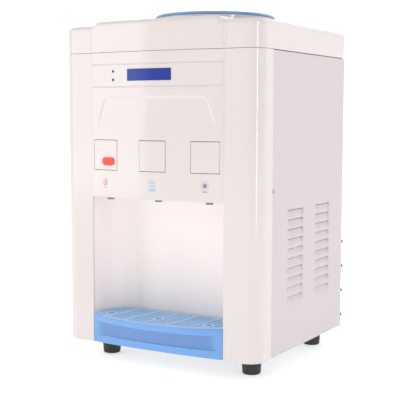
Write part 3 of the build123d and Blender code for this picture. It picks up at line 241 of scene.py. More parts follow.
def gloss_abs():
    """ABS moulded in a polished tool: near-mirror gloss, slow sink ripples, a faint drift of tone."""
    return finish_of("abs_gloss_moulded", colours().shell, 0.1, ior=1.54, cloud=(90, 0.012),
                     grain=(2.5, 0.004), ripple=(45, 0.12), spread=0.03)


def satin_abs():
    """ABS moulded in a spark-eroded tool: an even fine grain that spreads the light; its white is set lighter
    than the shell's as painted light in the shaded alcove.
    """
    # the real 0.1 mm grain is too fine to show, so it is drawn 1 mm wide
    return finish_of("abs_satin_moulded", colours().liner, 0.42, ior=1.54, cloud=(120, 0.015),
                     grain=(1, 0.01), ripple=(60, 0.1), spread=0.05)


def powder_white():
    """Powder coat on steel sheet: orange peel 2 mm across, and slow waves of the sheet under it."""
    return finish_of("steel_powder_coated_white", colours().sheet, 0.33, cloud=(110, 0.012), grain=(2, 0.012),
                     ripple=(70, 0.16), spread=0.05)


def powder_grey():
    """Thinner grey powder coat on the rear sheet, rougher than the sides."""
    return finish_of("steel_powder_coated_grey", colours().rear, 0.45, cloud=(80, 0.03), grain=(1.6, 0.02),
                     ripple=(50, 0.15))


def zinc_steel():
    """Hot-dip galvanised sheet: spangles 6 mm across with a dull metallic sheen."""
    return finish_of("steel_galvanised", linear("#B4B8BA"), 0.42, metallic=1.0, cells=True, cloud=(14, 0.12),
                     grain=(6, 0.02), spread=0.12)


def blue_abs():
    """Light blue ABS of tray, grille and seat: semi-gloss with a little depth."""
    return finish_of("abs_blue_moulded", colours().tray, 0.3, ior=1.54, cloud=(50, 0.03), grain=(1.2, 0.006),
                     ripple=(25, 0.06), **{"Subsurface Weight": 0.08, "Subsurface Scale": 0.004})


def blue_grille():
    """Blue on the grille, lighter than the tray's as painted light on its lit slats; ribs and hole rims are
    painted lighter still, a painted highlight.
    """
    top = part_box("drip_grille")[1].z
    # painted light: a lighter base than the tray's blue, and a painted highlight on the ribs and hole rims
    return finish_of("abs_blue_painted_highlight", linear("#A6CFFA"), 0.3, ior=1.54, cloud=(50, 0.03),
                     grain=(1.2, 0.006), crest=(top - 0.85 * MM, top - 0.45 * MM, linear("#D5EAFF")))


def blue_tray():
    """The same blue on the tray: its rim is painted lighter as a painted highlight, and a band of its front
    is matt and darker.
    """
    top = TRAY_HIGH.z
    # painted highlight: the rim's crest blends to a lighter blue
    made = finish_of("abs_blue_banded_rim_highlight", colours().tray, 0.3, ior=1.54, cloud=(50, 0.03), grain=(1.2, 0.006),
                     ripple=(25, 0.06), crest=(top - 0.6 * MM, top - 0.1 * MM, linear("#A6CFF8")))
    tree = made.node_tree
    shader = next(n for n in tree.nodes if n.type == "BSDF_PRINCIPLED")
    etched = node(tree, "ShaderNodeAttribute", attribute_name="etched").outputs["Fac"]
    colour_in = shader.inputs["Base Color"].links[0].from_socket
    rough_in = shader.inputs["Roughness"].links[0].from_socket
    band = node(tree, "ShaderNodeMix", {"Factor": etched, "A": colour_in, "B": (*colours().band, 1.0)},
                data_type="RGBA")
    matt = node(tree, "ShaderNodeMix", {"Factor": etched, "A": rough_in, "B": 0.5}, data_type="FLOAT")
    tree.links.new(band.outputs["Result"], shader.inputs["Base Color"])
    tree.links.new(matt.outputs["Result"], shader.inputs["Roughness"])
    return made


def badge_enamel():
    """Enamelled name plate, left blank: deep, even and glossy."""
    return finish_of("badge_enamelled", colours().badge, 0.18, cloud=(12, 0.05), grain=(1.2, 0.004),
                     **{"Specular IOR Level": 0.35})


def rubber():
    """Moulded rubber feet: dull, with a dusty bloom in patches."""
    return finish_of("rubber_moulded", colours().rubber, 0.55, cloud=(9, 0.35), grain=(0.9, 0.03), spread=0.1)


def stainless():
    """Deep-drawn stainless steel: fine vertical draw lines."""
    return finish_of("stainless_drawn", linear("#C9CACB"), 0.27, metallic=1.0, cloud=(30, 0.04),
                     grain=(1.2, 0.01), stretch=(1, 1, 0.06))


def polypropylene():
    """Natural moulded polypropylene: milky, waxy and slightly translucent."""
    return finish_of("polypropylene_moulded", linear("#E9E9E3"), 0.38, ior=1.49, cloud=(15, 0.04),
                     grain=(1, 0.01), **{"Subsurface Weight": 0.2, "Subsurface Scale": 0.005})


def tap_plastic_shaded():
    """Moulded plastic of the taps, coloured dark grey as painted shade for where they sit under the fascia:
    satin, with faint flow clouds.
    """
    # painted shade: the taps' colour is darkened for the shade under the fascia
    return finish_of("polypropylene_painted_shade", linear("#857B78"), 0.4, ior=1.49, cloud=(9, 0.12),
                     grain=(1, 0.01))


def silicone():
    """Extruded silicone hose: soft, cloudy and matt."""
    return finish_of("silicone_extruded", linear("#DCDDD8"), 0.5, ior=1.41, cloud=(12, 0.05),
                     grain=(0.8, 0.02), **{"Subsurface Weight": 0.25, "Subsurface Scale": 0.004})


def copper():
    """Drawn copper tube: warm, with brown tarnish in patches."""
    return finish_of("copper_drawn", linear("#C77B53"), 0.3, metallic=1.0, cloud=(10, 0.3), grain=(1, 0.01),
                     spread=0.12)


def foam():
    """Moulded bead foam: pale cells 3 mm across."""
    return finish_of("foam_expanded", linear("#EFEEEA"), 0.85, cells=True, cloud=(20, 0.04), grain=(3, 0.35))


def heater_alloy():
    """Pressed aluminium of heater and thermostats: bright with a fine lay."""
    return finish_of("aluminium_pressed", linear("#B9BABC"), 0.36, metallic=1.0, cloud=(8, 0.06),
                     grain=(0.8, 0.01), stretch=(0.2, 1, 1))


def black_enamel():
    """Black dipped enamel of compressor and condenser: glossy with small runs."""
    return finish_of("enamel_black_dipped", linear("#151518"), 0.3, cloud=(10, 0.3), grain=(1.5, 0.03),
                     ripple=(12, 0.08), spread=0.08)


def black_nylon():
    """Moulded black nylon of switches and gland: dark satin with a fine grain."""
    return finish_of("nylon_black_moulded", linear("#1D1D1F"), 0.4, cloud=(8, 0.15), grain=(0.8, 0.012))


def red_abs():
    """Red ABS of the child lock and the hot switch: bright semi-gloss."""
    return finish_of("abs_red_moulded", colours().lock, 0.3, ior=1.54, cloud=(6, 0.06), grain=(0.9, 0.01),
                     **{"Subsurface Weight": 0.1, "Subsurface Scale": 0.002})


def spring_wire():
    """Drawn spring wire: bright, with lengthwise lines."""
    return finish_of("spring_steel_drawn", linear("#A9ABAD"), 0.28, metallic=1.0, cloud=(3, 0.1),
                     grain=(0.6, 0.004))


def smoked_lens():
    """Unlit lens of an indicator lamp: smoked and glossy."""
    return finish_of("polycarbonate_smoked", linear("#2B2422"), 0.15, ior=1.58, cloud=(2, 0.2),
                     grain=(0.8, 0.002))


def circuit_green():
    """Solder mask of the lamp board: green over faint copper tracks."""
    return finish_of("circuit_board_coated", linear("#1C6B3A"), 0.35, cells=True, cloud=(5, 0.2),
                     grain=(2.5, 0.03))


def white_pp():
    """White moulded polypropylene of the drain cap."""
    return finish_of("polypropylene_white", linear("#E8E7E2"), 0.4, ior=1.49, cloud=(8, 0.03),
                     grain=(1, 0.012))


def ink(name, code):
    """Pad-printed ink: flat colour that thins a little in patches."""
    return finish_of(f"ink_{name}_printed", linear(code), 0.4, cloud=(2, 0.12), grain=(0.5, 0.003))


# ---------------------------------------------------------------- mesh building
def quads(points, keep=None, loop_u=False, loop_v=False):
    """Quads of a grid of points, facing along u x v. keep leaves quads out; loops join opposite sides."""
    count_u, count_v = points.shape[:2]
    number = np.arange(count_u * count_v).reshape(count_u, count_v)
    number = np.vstack([number, number[:1]]) if loop_u else number
    number = np.hstack([number, number[:, :1]]) if loop_v else number
    found = np.stack([number[:-1, :-1], number[1:, :-1], number[1:, 1:], number[:-1, 1:]], axis=-1)
    return found.reshape(-1, 4) if keep is None else found[keep]


def piece(name, surfaces, *finish, **more):
    """Makes one mesh of one or more (points, quads) surfaces, then dresses it as dress() does."""
    start, all_points, all_quads = 0, [], []
    for points, faces in surfaces:
        all_points.append(points.reshape(-1, 3))
        all_quads.append(faces + start)
        start += all_points[-1].shape[0]
    mesh = bpy.data.meshes.new(name)
    mesh.from_pydata(np.vstack(all_points).tolist(), [], np.vstack(all_quads).tolist())
    return dress(mesh, name, *finish, **more)


def dress(mesh, name, material, body, replaced, slot, wall=0.0, edge=0.0, edge_angle=35.0, sharp=40.0,
          recalculate=False, flatten=False):
    """Welds a mesh, gives it its wall, rounded edges, shading and material, and rides it on a body."""
    work = bmesh.new()
    work.from_mesh(mesh)
    bmesh.ops.remove_doubles(work, verts=work.verts, dist=2e-6)
    bmesh.ops.dissolve_degenerate(work, dist=1e-7, edges=work.edges)
    loose = [v for v in work.verts if not v.link_faces]
    bmesh.ops.delete(work, geom=loose, context="VERTS")
    if flatten:
        bmesh.ops.dissolve_limit(work, angle_limit=radians(0.4), verts=work.verts, edges=work.edges)
    if recalculate:
        bmesh.ops.recalc_face_normals(work, faces=work.faces)
    work.to_mesh(mesh)
    work.free()
    mesh.shade_smooth()
    mesh.set_sharp_from_angle(angle=radians(sharp))
    mesh.materials.clear()
    mesh.materials.append(material)
    made = bpy.data.objects.new(name, mesh)
    bpy.context.scene.collection.objects.link(made)
    if wall:
        solid = made.modifiers.new("wall", "SOLIDIFY")
        solid.thickness = wall
        solid.offset = -1.0
    if edge:
        round_edge = made.modifiers.new("edges", "BEVEL")
        round_edge.width = edge
        round_edge.segments = 3
        round_edge.limit_method = "ANGLE"
        round_edge.angle_limit = radians(edge_angle)
        round_edge.harden_normals = True
    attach(made, body)
    if replaced:
        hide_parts(*replaced)
    return made


def turned(profile, centre, steps=96):
    """A closed profile of (radius, height) turned about a vertical axis: u goes round, v along it."""
    angle = np.linspace(0, tau, steps, endpoint=False)[:, None]
    radius, height = profile[None, :, 0], profile[None, :, 1]
    points = np.stack([centre[0] + radius * np.cos(angle), centre[1] + radius * np.sin(angle),
                       height + 0 * angle], axis=-1)
    return points, quads(points, loop_u=True, loop_v=True)


def rounded(corners, radii, steps=6):
    """A closed outline through corners, each rounded by a circular arc of its own radius."""
    corners = np.asarray(corners, float)
    found = []
    for here, before, after, radius in zip(corners, np.roll(corners, 1, 0), np.roll(corners, -1, 0), radii):
        to_before = (before - here) / np.linalg.norm(before - here)
        to_after = (after - here) / np.linalg.norm(after - here)
        half = np.arccos(np.clip(to_before @ to_after, -1, 1)) / 2
        if radius <= 0 or abs(half - pi / 2) < 1e-3:
            found.append(here[None])
            continue
        reach = radius / np.tan(half)
        middle = here + (to_before + to_after) / np.linalg.norm(to_before + to_after) * radius / np.sin(half)
        first, last = here + to_before * reach - middle, here + to_after * reach - middle
        share = np.linspace(0, 1, steps + 1)[:, None]
        swing = pi - 2 * half
        arc = (np.sin((1 - share) * swing) * first + np.sin(share * swing) * last) / np.sin(swing)
        found.append(middle + arc)
    return np.vstack(found)


def smooth_step(value, low, high):
    """Rises from 0 at low to 1 at high, with level ends."""
    t = np.clip((value - low) / (high - low), 0, 1)
    return t * t * (3 - 2 * t)


# ---------------------------------------------------------------- front moulding
def crease():
    """X of the line where the fascia ends and the pillar begins."""
    return LINER_HIGH.x - 5 * MM


def bow(x, step=None):
    """Y of the bowed fascia: an arc through the middle and both creases, where it stands out by step."""
    rise = sizes().bulge - (sizes().step if step is None else step)
    radius = (crease() ** 2 + rise ** 2) / (2 * rise)
    return FRONT_LOW.y + radius - np.sqrt(radius ** 2 - np.asarray(x) ** 2)


def front_path(columns, step):
    """Plan of the front from left to right: points, outward normals, and how many come before the fascia.

    Side line, quarter circle, flat pillar, rounded step, bowed fascia at the columns, then all mirrored.
    The step's edge is an arc of twice its height.
    """
    half, r = FRONT_HIGH.x, sizes().corner
    front = FRONT_LOW.y + sizes().bulge
    rise = sizes().bulge - step
    radius = (crease() ** 2 + rise ** 2) / (2 * rise)
    start, edge = np.arcsin(crease() / radius), 2 * step
    end = np.arccos(np.cos(start) - 0.9 * step / edge)
    turn = np.linspace(end, start, 8)[:-1]
    edge_x = -crease() + edge * (np.sin(start) - np.sin(turn))
    edge_y = front - step + edge * (np.cos(start) - np.cos(turn))
    side_y = np.linspace(FRONT_HIGH.y, front + r, 7)[:-1]
    angle = np.linspace(pi, 1.5 * pi, 25)
    flat_x = np.linspace(-half + r, edge_x[0] - 0.3 * MM, 8)[1:]
    level = np.ones(len(side_y)), np.ones(len(flat_x))
    x = np.concatenate([-half * level[0], -half + r + r * np.cos(angle), flat_x, edge_x])
    y = np.concatenate([side_y, front + r + r * np.sin(angle), front * level[1], edge_y])
    nx = np.concatenate([-level[0], np.cos(angle), 0 * level[1], -np.sin(turn)])
    ny = np.concatenate([0 * level[0], np.sin(angle), -level[1], -np.cos(turn)])
    mid_nx = columns / radius
    mid_ny = -np.sqrt(1 - mid_nx ** 2)
    points = np.stack([np.concatenate([x, columns, -x[::-1]]),
                       np.concatenate([y, bow(columns, step), y[::-1]])], -1)
    normals = np.stack([np.concatenate([nx, mid_nx, -nx[::-1]]), np.concatenate([ny, mid_ny, ny[::-1]])], -1)
    return points, normals, len(x)


def spaced(stops, step):
    """Values that include every stop, with even steps no longer than step between them."""
    stops = sorted(set(np.round(stops, 6)))
    runs = [np.linspace(a, b, max(int(np.ceil((b - a) / step)), 1), endpoint=False)
            for a, b in zip(stops[:-1], stops[1:])]
    return np.concatenate(runs + [[stops[-1]]])


class DISPENSER_OT_front_moulding(bpy.types.Operator):
    """Front moulding: pillars and bowed fascia with button windows, grooves and a shallow hollow"""

    bl_idname = "dispenser.front_moulding"
    bl_label = "Front moulding"

    def execute(self, context):
        """The surface is the plan path carried up in z, moved along its normal by -depth(x, z).

        depth is the two grooves plus a hollow, whose edge is a rounded trapezium. With d1 the distance inside
        its leaning leg and d2 that under its upper edge, a point is r - |(max(r - d1, 0), max(r - d2, 0))|
        inside the edge, where the wall rises smoothly. It fades to nothing towards the buttons.
        """
        half_window = (BUTTON_HIGH.z - BUTTON_LOW.z) / 2 + sizes().window_gap
        window_z = (BUTTON_HIGH.z + BUTTON_LOW.z) / 2
        top_half, top_z, low_half, low_z = 80 * MM, 371 * MM, 94 * MM, 330 * MM
        soft, round_r = 1.3 * MM, 7 * MM
        groove_zs = (385.4 * MM, 415.5 * MM)
        w, d = sizes().groove / 2, sizes().groove_depth
        leg_xs = np.arange(72.0, 99.0, 0.9)
        stops = [-crease(), crease()] + [side * x * MM for side in (-1, 1) for x in leg_xs]
        for centre in TAPS.values():
            stops += [centre - half_window, centre + half_window]
        columns = spaced(stops, 3 * MM)
        z_stops = [FRONT_LOW.z, sizes().alcove_top, window_z - half_window, window_z + half_window,
                   FRONT_HIGH.z] + list(np.arange(320.0, 376.0, 1.2) * MM)
        for groove_z in groove_zs:
            z_stops += [groove_z - w - 0.3 * MM, groove_z - w + 0.1 * MM, groove_z + w - 0.1 * MM,
                        groove_z + w + 0.3 * MM]
        rows = spaced(z_stops, 6 * MM)
        path, normals, offset = front_path(columns, sizes().step)
        x, z = np.meshgrid(path[:, 0], rows, indexing="ij")
        inside = np.zeros(len(path), bool)
        inside[offset:offset + len(columns)] = True
        leg = top_half + (low_half - top_half) * (top_z - z) / (top_z - low_z)
        edge_in = round_r - np.hypot(np.maximum(round_r - leg + np.abs(x), 0),
                                     np.maximum(round_r - top_z + z, 0))
        fade = smooth_step(z, 322 * MM, 356 * MM)
        depth = sizes().hollow_depth * smooth_step(edge_in, -soft, soft) * fade
        for groove_z in groove_zs:
            depth += d * (1 - smooth_step(np.abs(z - groove_z), w - 0.1 * MM, w + 0.3 * MM))
        depth *= inside[:, None]
        points = np.stack([x - normals[:, 0][:, None] * depth,
                           path[:, 1][:, None] - normals[:, 1][:, None] * depth, z], -1)
        mid_x = (path[1:, 0] + path[:-1, 0])[:, None] / 2
        mid_z = (rows[1:] + rows[:-1])[None, :] / 2
        number = np.arange(len(path) - 1)
        fascia = ((number >= offset) & (number < offset + len(columns) - 1))[:, None]
        keep = ~((np.abs(mid_x) < crease() + 2.5 * MM) & (mid_z < sizes().alcove_top))
        at_window = fascia & (np.abs(mid_z - window_z) < half_window)
        for centre in TAPS.values():
            keep &= ~(at_window & (np.abs(mid_x - centre) < half_window))
        piece("front_moulding", [(points, quads(points, keep))], gloss_abs(), "cabinet", ["front_panel"],
              "white_abs", wall=sizes().wall, edge=sizes().edge, edge_angle=75.0, sharp=60.0)
        return {"FINISHED"}


class DISPENSER_OT_top_cover(bpy.types.Operator):
    """Top cover: walls over the cabinet's plan, a rounded upper edge and a raised middle under the collar"""

    bl_idname = "dispenser.top_cover"
    bl_label = "Top cover"

    def execute(self, context):
        """Rows over the closed plan: up the wall, round the upper edge, then in to a circle under the collar.

        On the top a point lies at (1 - t) outline + t circle. The middle of the top is raised, with a smooth
        step at each side.
        """
        low_z, side_top = FRONT_HIGH.z + 0.5 * MM, 469 * MM
        raised, raised_in, raised_out = 5 * MM, 93 * MM, 101 * MM
        back, rear_r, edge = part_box("top_cover")[1].y, 7.5 * MM, sizes().cover_edge
        collar_low, collar_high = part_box("bottle_collar")
        middle = np.array([(collar_low.x + collar_high.x) / 2, (collar_low.y + collar_high.y) / 2])
        hole = (collar_high.x - collar_low.x) / 2 - 5 * MM
        half = FRONT_HIGH.x
        front, front_n, _ = front_path(spaced([-crease(), crease()], 4 * MM), sizes().cover_step)
        front_n[np.abs(front[:, 0]) < half - sizes().corner + 0.1 * MM] = (0.0, -1.0)
        run = np.linspace(FRONT_HIGH.y, back - rear_r, 26)[1:-1]
        turn = np.linspace(0, pi / 2, 9)
        across = np.linspace(half - rear_r, -half + rear_r, 40)[1:-1]
        round_n = np.stack([np.cos(turn), np.sin(turn)], -1)
        right = np.vstack([np.stack([np.full(len(run), half), run], -1),
                           np.array([half - rear_r, back - rear_r]) + rear_r * round_n])
        right_n = np.vstack([np.tile([1.0, 0.0], (len(run), 1)), round_n])
        flip = np.array([-1.0, 1.0])
        rear = np.stack([across, np.full(len(across), back)], -1)
        plan = np.vstack([front, right, rear, right[::-1] * flip])
        out = np.vstack([front_n, right_n, np.tile([0.0, 1.0], (len(across), 1)), right_n[::-1] * flip])

        def top(x):
            return side_top + raised * (1 - smooth_step(np.abs(x), raised_in, raised_out))

        rows = [np.column_stack([plan, np.full(len(plan), h)])
                for h in (low_z, low_z + 0.8 * MM, low_z + 12 * MM, side_top - edge - 6 * MM)]
        for a in np.linspace(0, pi / 2, 9):
            flat = plan - out * edge * (1 - cos(a))
            rows.append(np.column_stack([flat, top(plan[:, 0]) - edge * (1 - sin(a))]))
        inner = plan - out * edge
        away = inner - middle
        circle = middle + away / np.linalg.norm(away, axis=1)[:, None] * hole
        for t in np.linspace(0, 1, 22)[1:]:
            flat = (1 - t) * inner + t * circle
            rows.append(np.column_stack([flat, top(flat[:, 0])]))
        points = np.stack(rows, axis=1)
        piece("top_cover_shell", [(points, quads(points, loop_u=True))], gloss_abs(), "cabinet",
              ["top_cover"], "white_abs", wall=2.5 * MM, edge=0.5 * MM, edge_angle=75, sharp=60)
        return {"FINISHED"}


class DISPENSER_OT_side_sheets(bpy.types.Operator):
    """Side sheets with two columns of pressed louvres and a turned-in rear flange"""

    bl_idname = "dispenser.side_sheets"
    bl_label = "Side sheets"

    def execute(self, context):
        """The plan path (side line, bend, flange) carried up in z and pressed in along its normal.

        Each louvre is pressed in most under its slit and ramps back to the sheet below. The slit is open.
        """
        face, back, bend, flange = SIDE_HIGH.x, SIDE_HIGH.y, 2.2 * MM, 14 * MM
        count, pitch, top, ramp = 10, 13.2 * MM, 221 * MM, 7.5 * MM
        slit, wall = sizes().slit, 0.9 * MM
        starts, long = (-55 * MM, 35 * MM), 48 * MM
        y_stops = [FRONT_HIGH.y + 0.3 * MM, back - bend]
        for start in starts:
            y_stops += [start, start + wall, start + long - wall, start + long]
        side_y = spaced(y_stops, 9 * MM)
        angle = np.linspace(0, pi / 2, 6)[1:]
        bend_n = np.stack([np.cos(angle), np.sin(angle)], -1)
        path = np.vstack([np.stack([np.full(len(side_y), face), side_y], -1),
                          np.array([face - bend, back - bend]) + bend * bend_n, [[face - flange, back]]])
        normals = np.vstack([np.tile([1.0, 0.0], (len(side_y), 1)), bend_n, [[0.0, 1.0]]])
        z_stops = [SIDE_LOW.z, SIDE_HIGH.z]
        tops = [top - i * pitch for i in range(count)]
        for t in tops:
            z_stops += [t, t - slit, t - slit - ramp / 2, t - slit - ramp]
        rows = spaced(z_stops, 12 * MM)
        y, z = path[:, 1][:, None], rows[None, :]
        depth = np.zeros((len(path), len(rows)))
        across = np.zeros_like(path[:, 1])
        for start in starts:
            across = np.maximum(across, np.clip((path[:, 1] - start) / wall, 0, 1) *
                                np.clip((start + long - path[:, 1]) / wall, 0, 1))
        across[len(side_y):] = 0
        for t in tops:
            share = np.clip((rows - (t - slit - ramp)) / ramp, 0, 1) * (rows < t - slit / 2)
            depth = np.maximum(depth, across[:, None] * share[None, :] * sizes().louvre_depth)
        points = np.stack([path[:, 0][:, None] - normals[:, 0][:, None] * depth,
                           y - normals[:, 1][:, None] * depth, z + 0 * y], -1)
        mid_y = (path[1:, 1] + path[:-1, 1])[:, None] / 2
        mid_z = (rows[1:] + rows[:-1])[None, :] / 2
        keep = np.ones((len(path) - 1, len(rows) - 1), bool)
        for t in tops:
            for start in starts:
                keep &= ~((mid_y > start) & (mid_y < start + long) & (mid_z < t) & (mid_z > t - slit) &
                          (np.arange(len(path) - 1) < len(side_y) - 1)[:, None])
        faces = quads(points, keep)
        for side, surface in (("right", (points, faces)),
                              ("left", (points * np.array([-1, 1, 1]), faces[:, ::-1]))):
            piece(f"side_sheet_{side}", [surface], powder_white(), "cabinet", [f"side_panel_{side}"],
                  "white_sheet", wall=sizes().sheet, edge=0.25 * MM, edge_angle=60, sharp=30)
        return {"FINISHED"}


# ---------------------------------------------------------------- drip tray
def tray_outline(front, inset, steps=48):
    """Plan of the tray, anticlockwise: cubic curve along the front, sides, round back corners."""
    half = TRAY_HIGH.x - inset
    shoulder = FRONT_LOW.y + sizes().bulge + inset
    back = TRAY_HIGH.y - inset
    r = 38 * MM - inset
    reach, pull = 0.55 * half, (4 * (front + inset) - shoulder) / 3
    t = np.linspace(0, 1, steps + 1)
    front_x = half * (t ** 3 - (1 - t) ** 3) + 3 * reach * t * (1 - t) * (t - (1 - t))
    front_y = shoulder * ((1 - t) ** 3 + t ** 3) + 3 * pull * t * (1 - t)
    side_y = np.linspace(shoulder, back - r, 6)[1:-1]
    angle = np.linspace(0, pi / 2, 15)
    back_x = np.linspace(half - r, -half + r, 12)[1:-1]
    x = np.concatenate([front_x, np.full(4, half), half - r + r * np.cos(angle), back_x,
                        -half + r - r * np.sin(angle), np.full(4, -half)])
    y = np.concatenate([front_y, side_y, back - r + r * np.sin(angle), np.full(10, back),
                        back - r + r * np.cos(angle), side_y[::-1]])
    return x, y


class DISPENSER_OT_drip_tray(bpy.types.Operator):
    """Drip tray with a leaning bowed front, an etched band and a rounded rim"""

    bl_idname = "dispenser.drip_tray"
    bl_label = "Drip tray"

    def execute(self, context):
        """Rows of the same plan outline, each with its own height, inset and front edge.

        The front edge leans out in a straight line from skirt to rim. The band is one more inset,
        eased in at its upper and lower edges and towards both ends.
        """
        low, high = TRAY_LOW.z, TRAY_HIGH.z
        floor = LINER_LOW.z + 3 * MM
        foot_front, rim_front = -149 * MM, TRAY_LOW.y
        rim, ledge, inner = sizes().rim, high - 3.5 * MM, 5 * MM
        mid_y = (TRAY_HIGH.y + FRONT_LOW.y) / 2
        band_low, band_high, soft = 41 * MM, 60.5 * MM, 0.8 * MM
        shoulder = FRONT_LOW.y + sizes().bulge

        def in_band(height):
            return smooth_step(height, band_low - soft, band_low + soft) * (
                1 - smooth_step(height, band_high - soft, band_high + soft))

        def row(height, inset, front=None, centre=False, band=False, skirt=False):
            lean = foot_front + (rim_front - foot_front) * (height - low) / (high - low)
            x, y = tray_outline(lean if front is None else front, inset)
            z = np.full_like(x, height)
            at_front = y < shoulder + 3 * MM
            if skirt:
                z = np.where(at_front, height, floor)
            if band:
                ends = 1 - smooth_step(np.abs(x), 90 * MM, 97 * MM)
                y = y + sizes().band_depth * in_band(height) * ends * at_front
            if centre:
                x, y = x * 0.0, y * 0.0 + mid_y
            return np.stack([x, y, z], -1)

        outside = np.unique(np.round(np.concatenate([
            np.linspace(low + 0.9 * MM, band_low - soft, 4), np.linspace(band_low - soft, band_low + soft, 5),
            np.linspace(band_low + soft, band_high - soft, 8),
            np.linspace(band_high - soft, band_high + soft, 5), [66 * MM, high - 1.2 * MM]]), 7))
        rows = [row(floor, 0, centre=True), row(floor, rim + 0.5 * MM), row(low, rim, skirt=True),
                row(low, 0.9 * MM, skirt=True), row(low + 0.25 * MM, 0.25 * MM, skirt=True)]
        rows += [row(h, 0, band=True, skirt=h < floor) for h in outside]
        rows += [row(high - 0.35 * MM, 0.35 * MM), row(high, 1.1 * MM), row(high - 0.2 * MM, rim - 0.3 * MM),
                 row(high - 0.8 * MM, rim), row(ledge, rim), row(ledge, inner - 0.4 * MM),
                 row(ledge - 0.6 * MM, inner), row(floor + 3 * MM, inner, front=foot_front - 3 * MM),
                 row(floor + 2.4 * MM, inner + 3 * MM, front=foot_front - 3 * MM),
                 row(floor + 2.4 * MM, 0, centre=True)]
        points = np.stack(rows, axis=1)
        tray = piece("drip_tray_shell", [(points, quads(points, loop_u=True))], blue_tray(), "drip_tray",
                     ["drip_tray"], "blue_abs", sharp=32)
        place = np.empty(len(tray.data.vertices) * 3)
        tray.data.vertices.foreach_get("co", place)
        x, y, z = place.reshape(-1, 3).T
        etched = in_band(z) * (1 - smooth_step(np.abs(x), 82 * MM, 100 * MM)) * (y < shoulder)
        tray.data.attributes.new("etched", "FLOAT", "POINT").data.foreach_set("value", etched)
        return {"FINISHED"}


class DISPENSER_OT_bottle_seat(bpy.types.Operator):
    """Bottle seat: a funnel with a rounded rim, turned about the bottle's axis"""

    bl_idname = "dispenser.bottle_seat"
    bl_label = "Bottle seat"

    def execute(self, context):
        """A rounded profile of (radius, height), turned once round the axis."""
        centre = ((SEAT_LOW.x + SEAT_HIGH.x) / 2, (SEAT_LOW.y + SEAT_HIGH.y) / 2)
        ring = (SEAT_HIGH.x - SEAT_LOW.x) / 2
        top, low = SEAT_HIGH.z, SEAT_LOW.z
        under = 485.8 * MM
        neck, wall, funnel = 28.5 * MM, 2.5 * MM, 74 * MM
        corners = [(neck, low), (neck + wall, low), (neck + wall, 444 * MM), (funnel + wall, 482.5 * MM),
                   (funnel + wall, under), (ring, under), (ring, top), (funnel + 1.2 * MM, top),
                   (funnel - 2 * MM, 485 * MM), (neck, 446 * MM)]
        radii = [r * MM for r in (0.8, 0.8, 4, 1, 0.3, 0.6, 3.4, 2.5, 5, 5)]
        profile = rounded(corners, radii)
        piece("bottle_seat_ring", [turned(profile, centre, steps=160)], blue_abs(), "bottle_seat",
              ["bottle_seat"], "blue_abs", sharp=50, recalculate=True)
        return {"FINISHED"}


class DISPENSER_OT_feet(bpy.types.Operator):
    """Four tapered rubber feet with a collar under the cabinet and a recessed fixing"""

    bl_idname = "dispenser.feet"
    bl_label = "Feet"

    def execute(self, context):
        """A rounded profile of (radius, height) turned round each foot's axis."""
        for side in ("left", "right"):
            for end in ("front", "rear"):
                low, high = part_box(f"foot_{end}_{side}")
                centre = ((low.x + high.x) / 2, (low.y + high.y) / 2)
                outer, top = (high.x - low.x) / 2, high.z
                corners = [(5 * MM, 0), (12.3 * MM, 0), (14.3 * MM, top - 4 * MM), (outer, top - 4 * MM),
                           (outer, top), (2.4 * MM, top), (2.4 * MM, 18 * MM), (5 * MM, 18 * MM)]
                radii = [r * MM for r in (0.8, 2.2, 0.5, 0.8, 0.8, 0.2, 0.2, 0.4)]
                surface = turned(rounded(corners, radii), centre, steps=64)
                piece(f"foot_{end}_{side}_rubber", [surface], rubber(), "cabinet",
                      [f"foot_{end}_{side}"], "black_rubber", sharp=50, recalculate=True)
        return {"FINISHED"}


# ---------------------------------------------------------------- marks, badge, lamps, lock
def on_fascia(x, z, proud):
    """Points that stand proud of the bowed fascia."""
    return np.stack([x, bow(x) - proud, z], -1)


def slab(x, z, proud, base):
    """A closed slab on the fascia: the grid (x, z) at its face, its sides and its back at depth base."""
    face = on_fascia(x, z, proud)
    back = on_fascia(x, z, base)
    ring = np.concatenate([face[:, 0], face[-1, 1:], face[-2::-1, -1], face[0, -2:0:-1]])
    under = np.concatenate([back[:, 0], back[-1, 1:], back[-2::-1, -1], back[0, -2:0:-1]])
    wall = np.stack([ring, under], axis=1)
    return [(face, quads(face)), (back, quads(back)[:, ::-1]), (wall, quads(wall, loop_u=True)[:, ::-1])]


def ribbon(x, z, width, proud=0.12 * MM, base=-0.1 * MM):
    """A slab of constant width along a line (x, z) on the fascia."""
    dx, dz = np.gradient(x), np.gradient(z)
    size = np.hypot(dx, dz)
    nx, nz = dz / size, -dx / size
    offset = np.array([-width / 2, width / 2])
    return slab(x[:, None] - nx[:, None] * offset, z[:, None] - nz[:, None] * offset, proud, base)


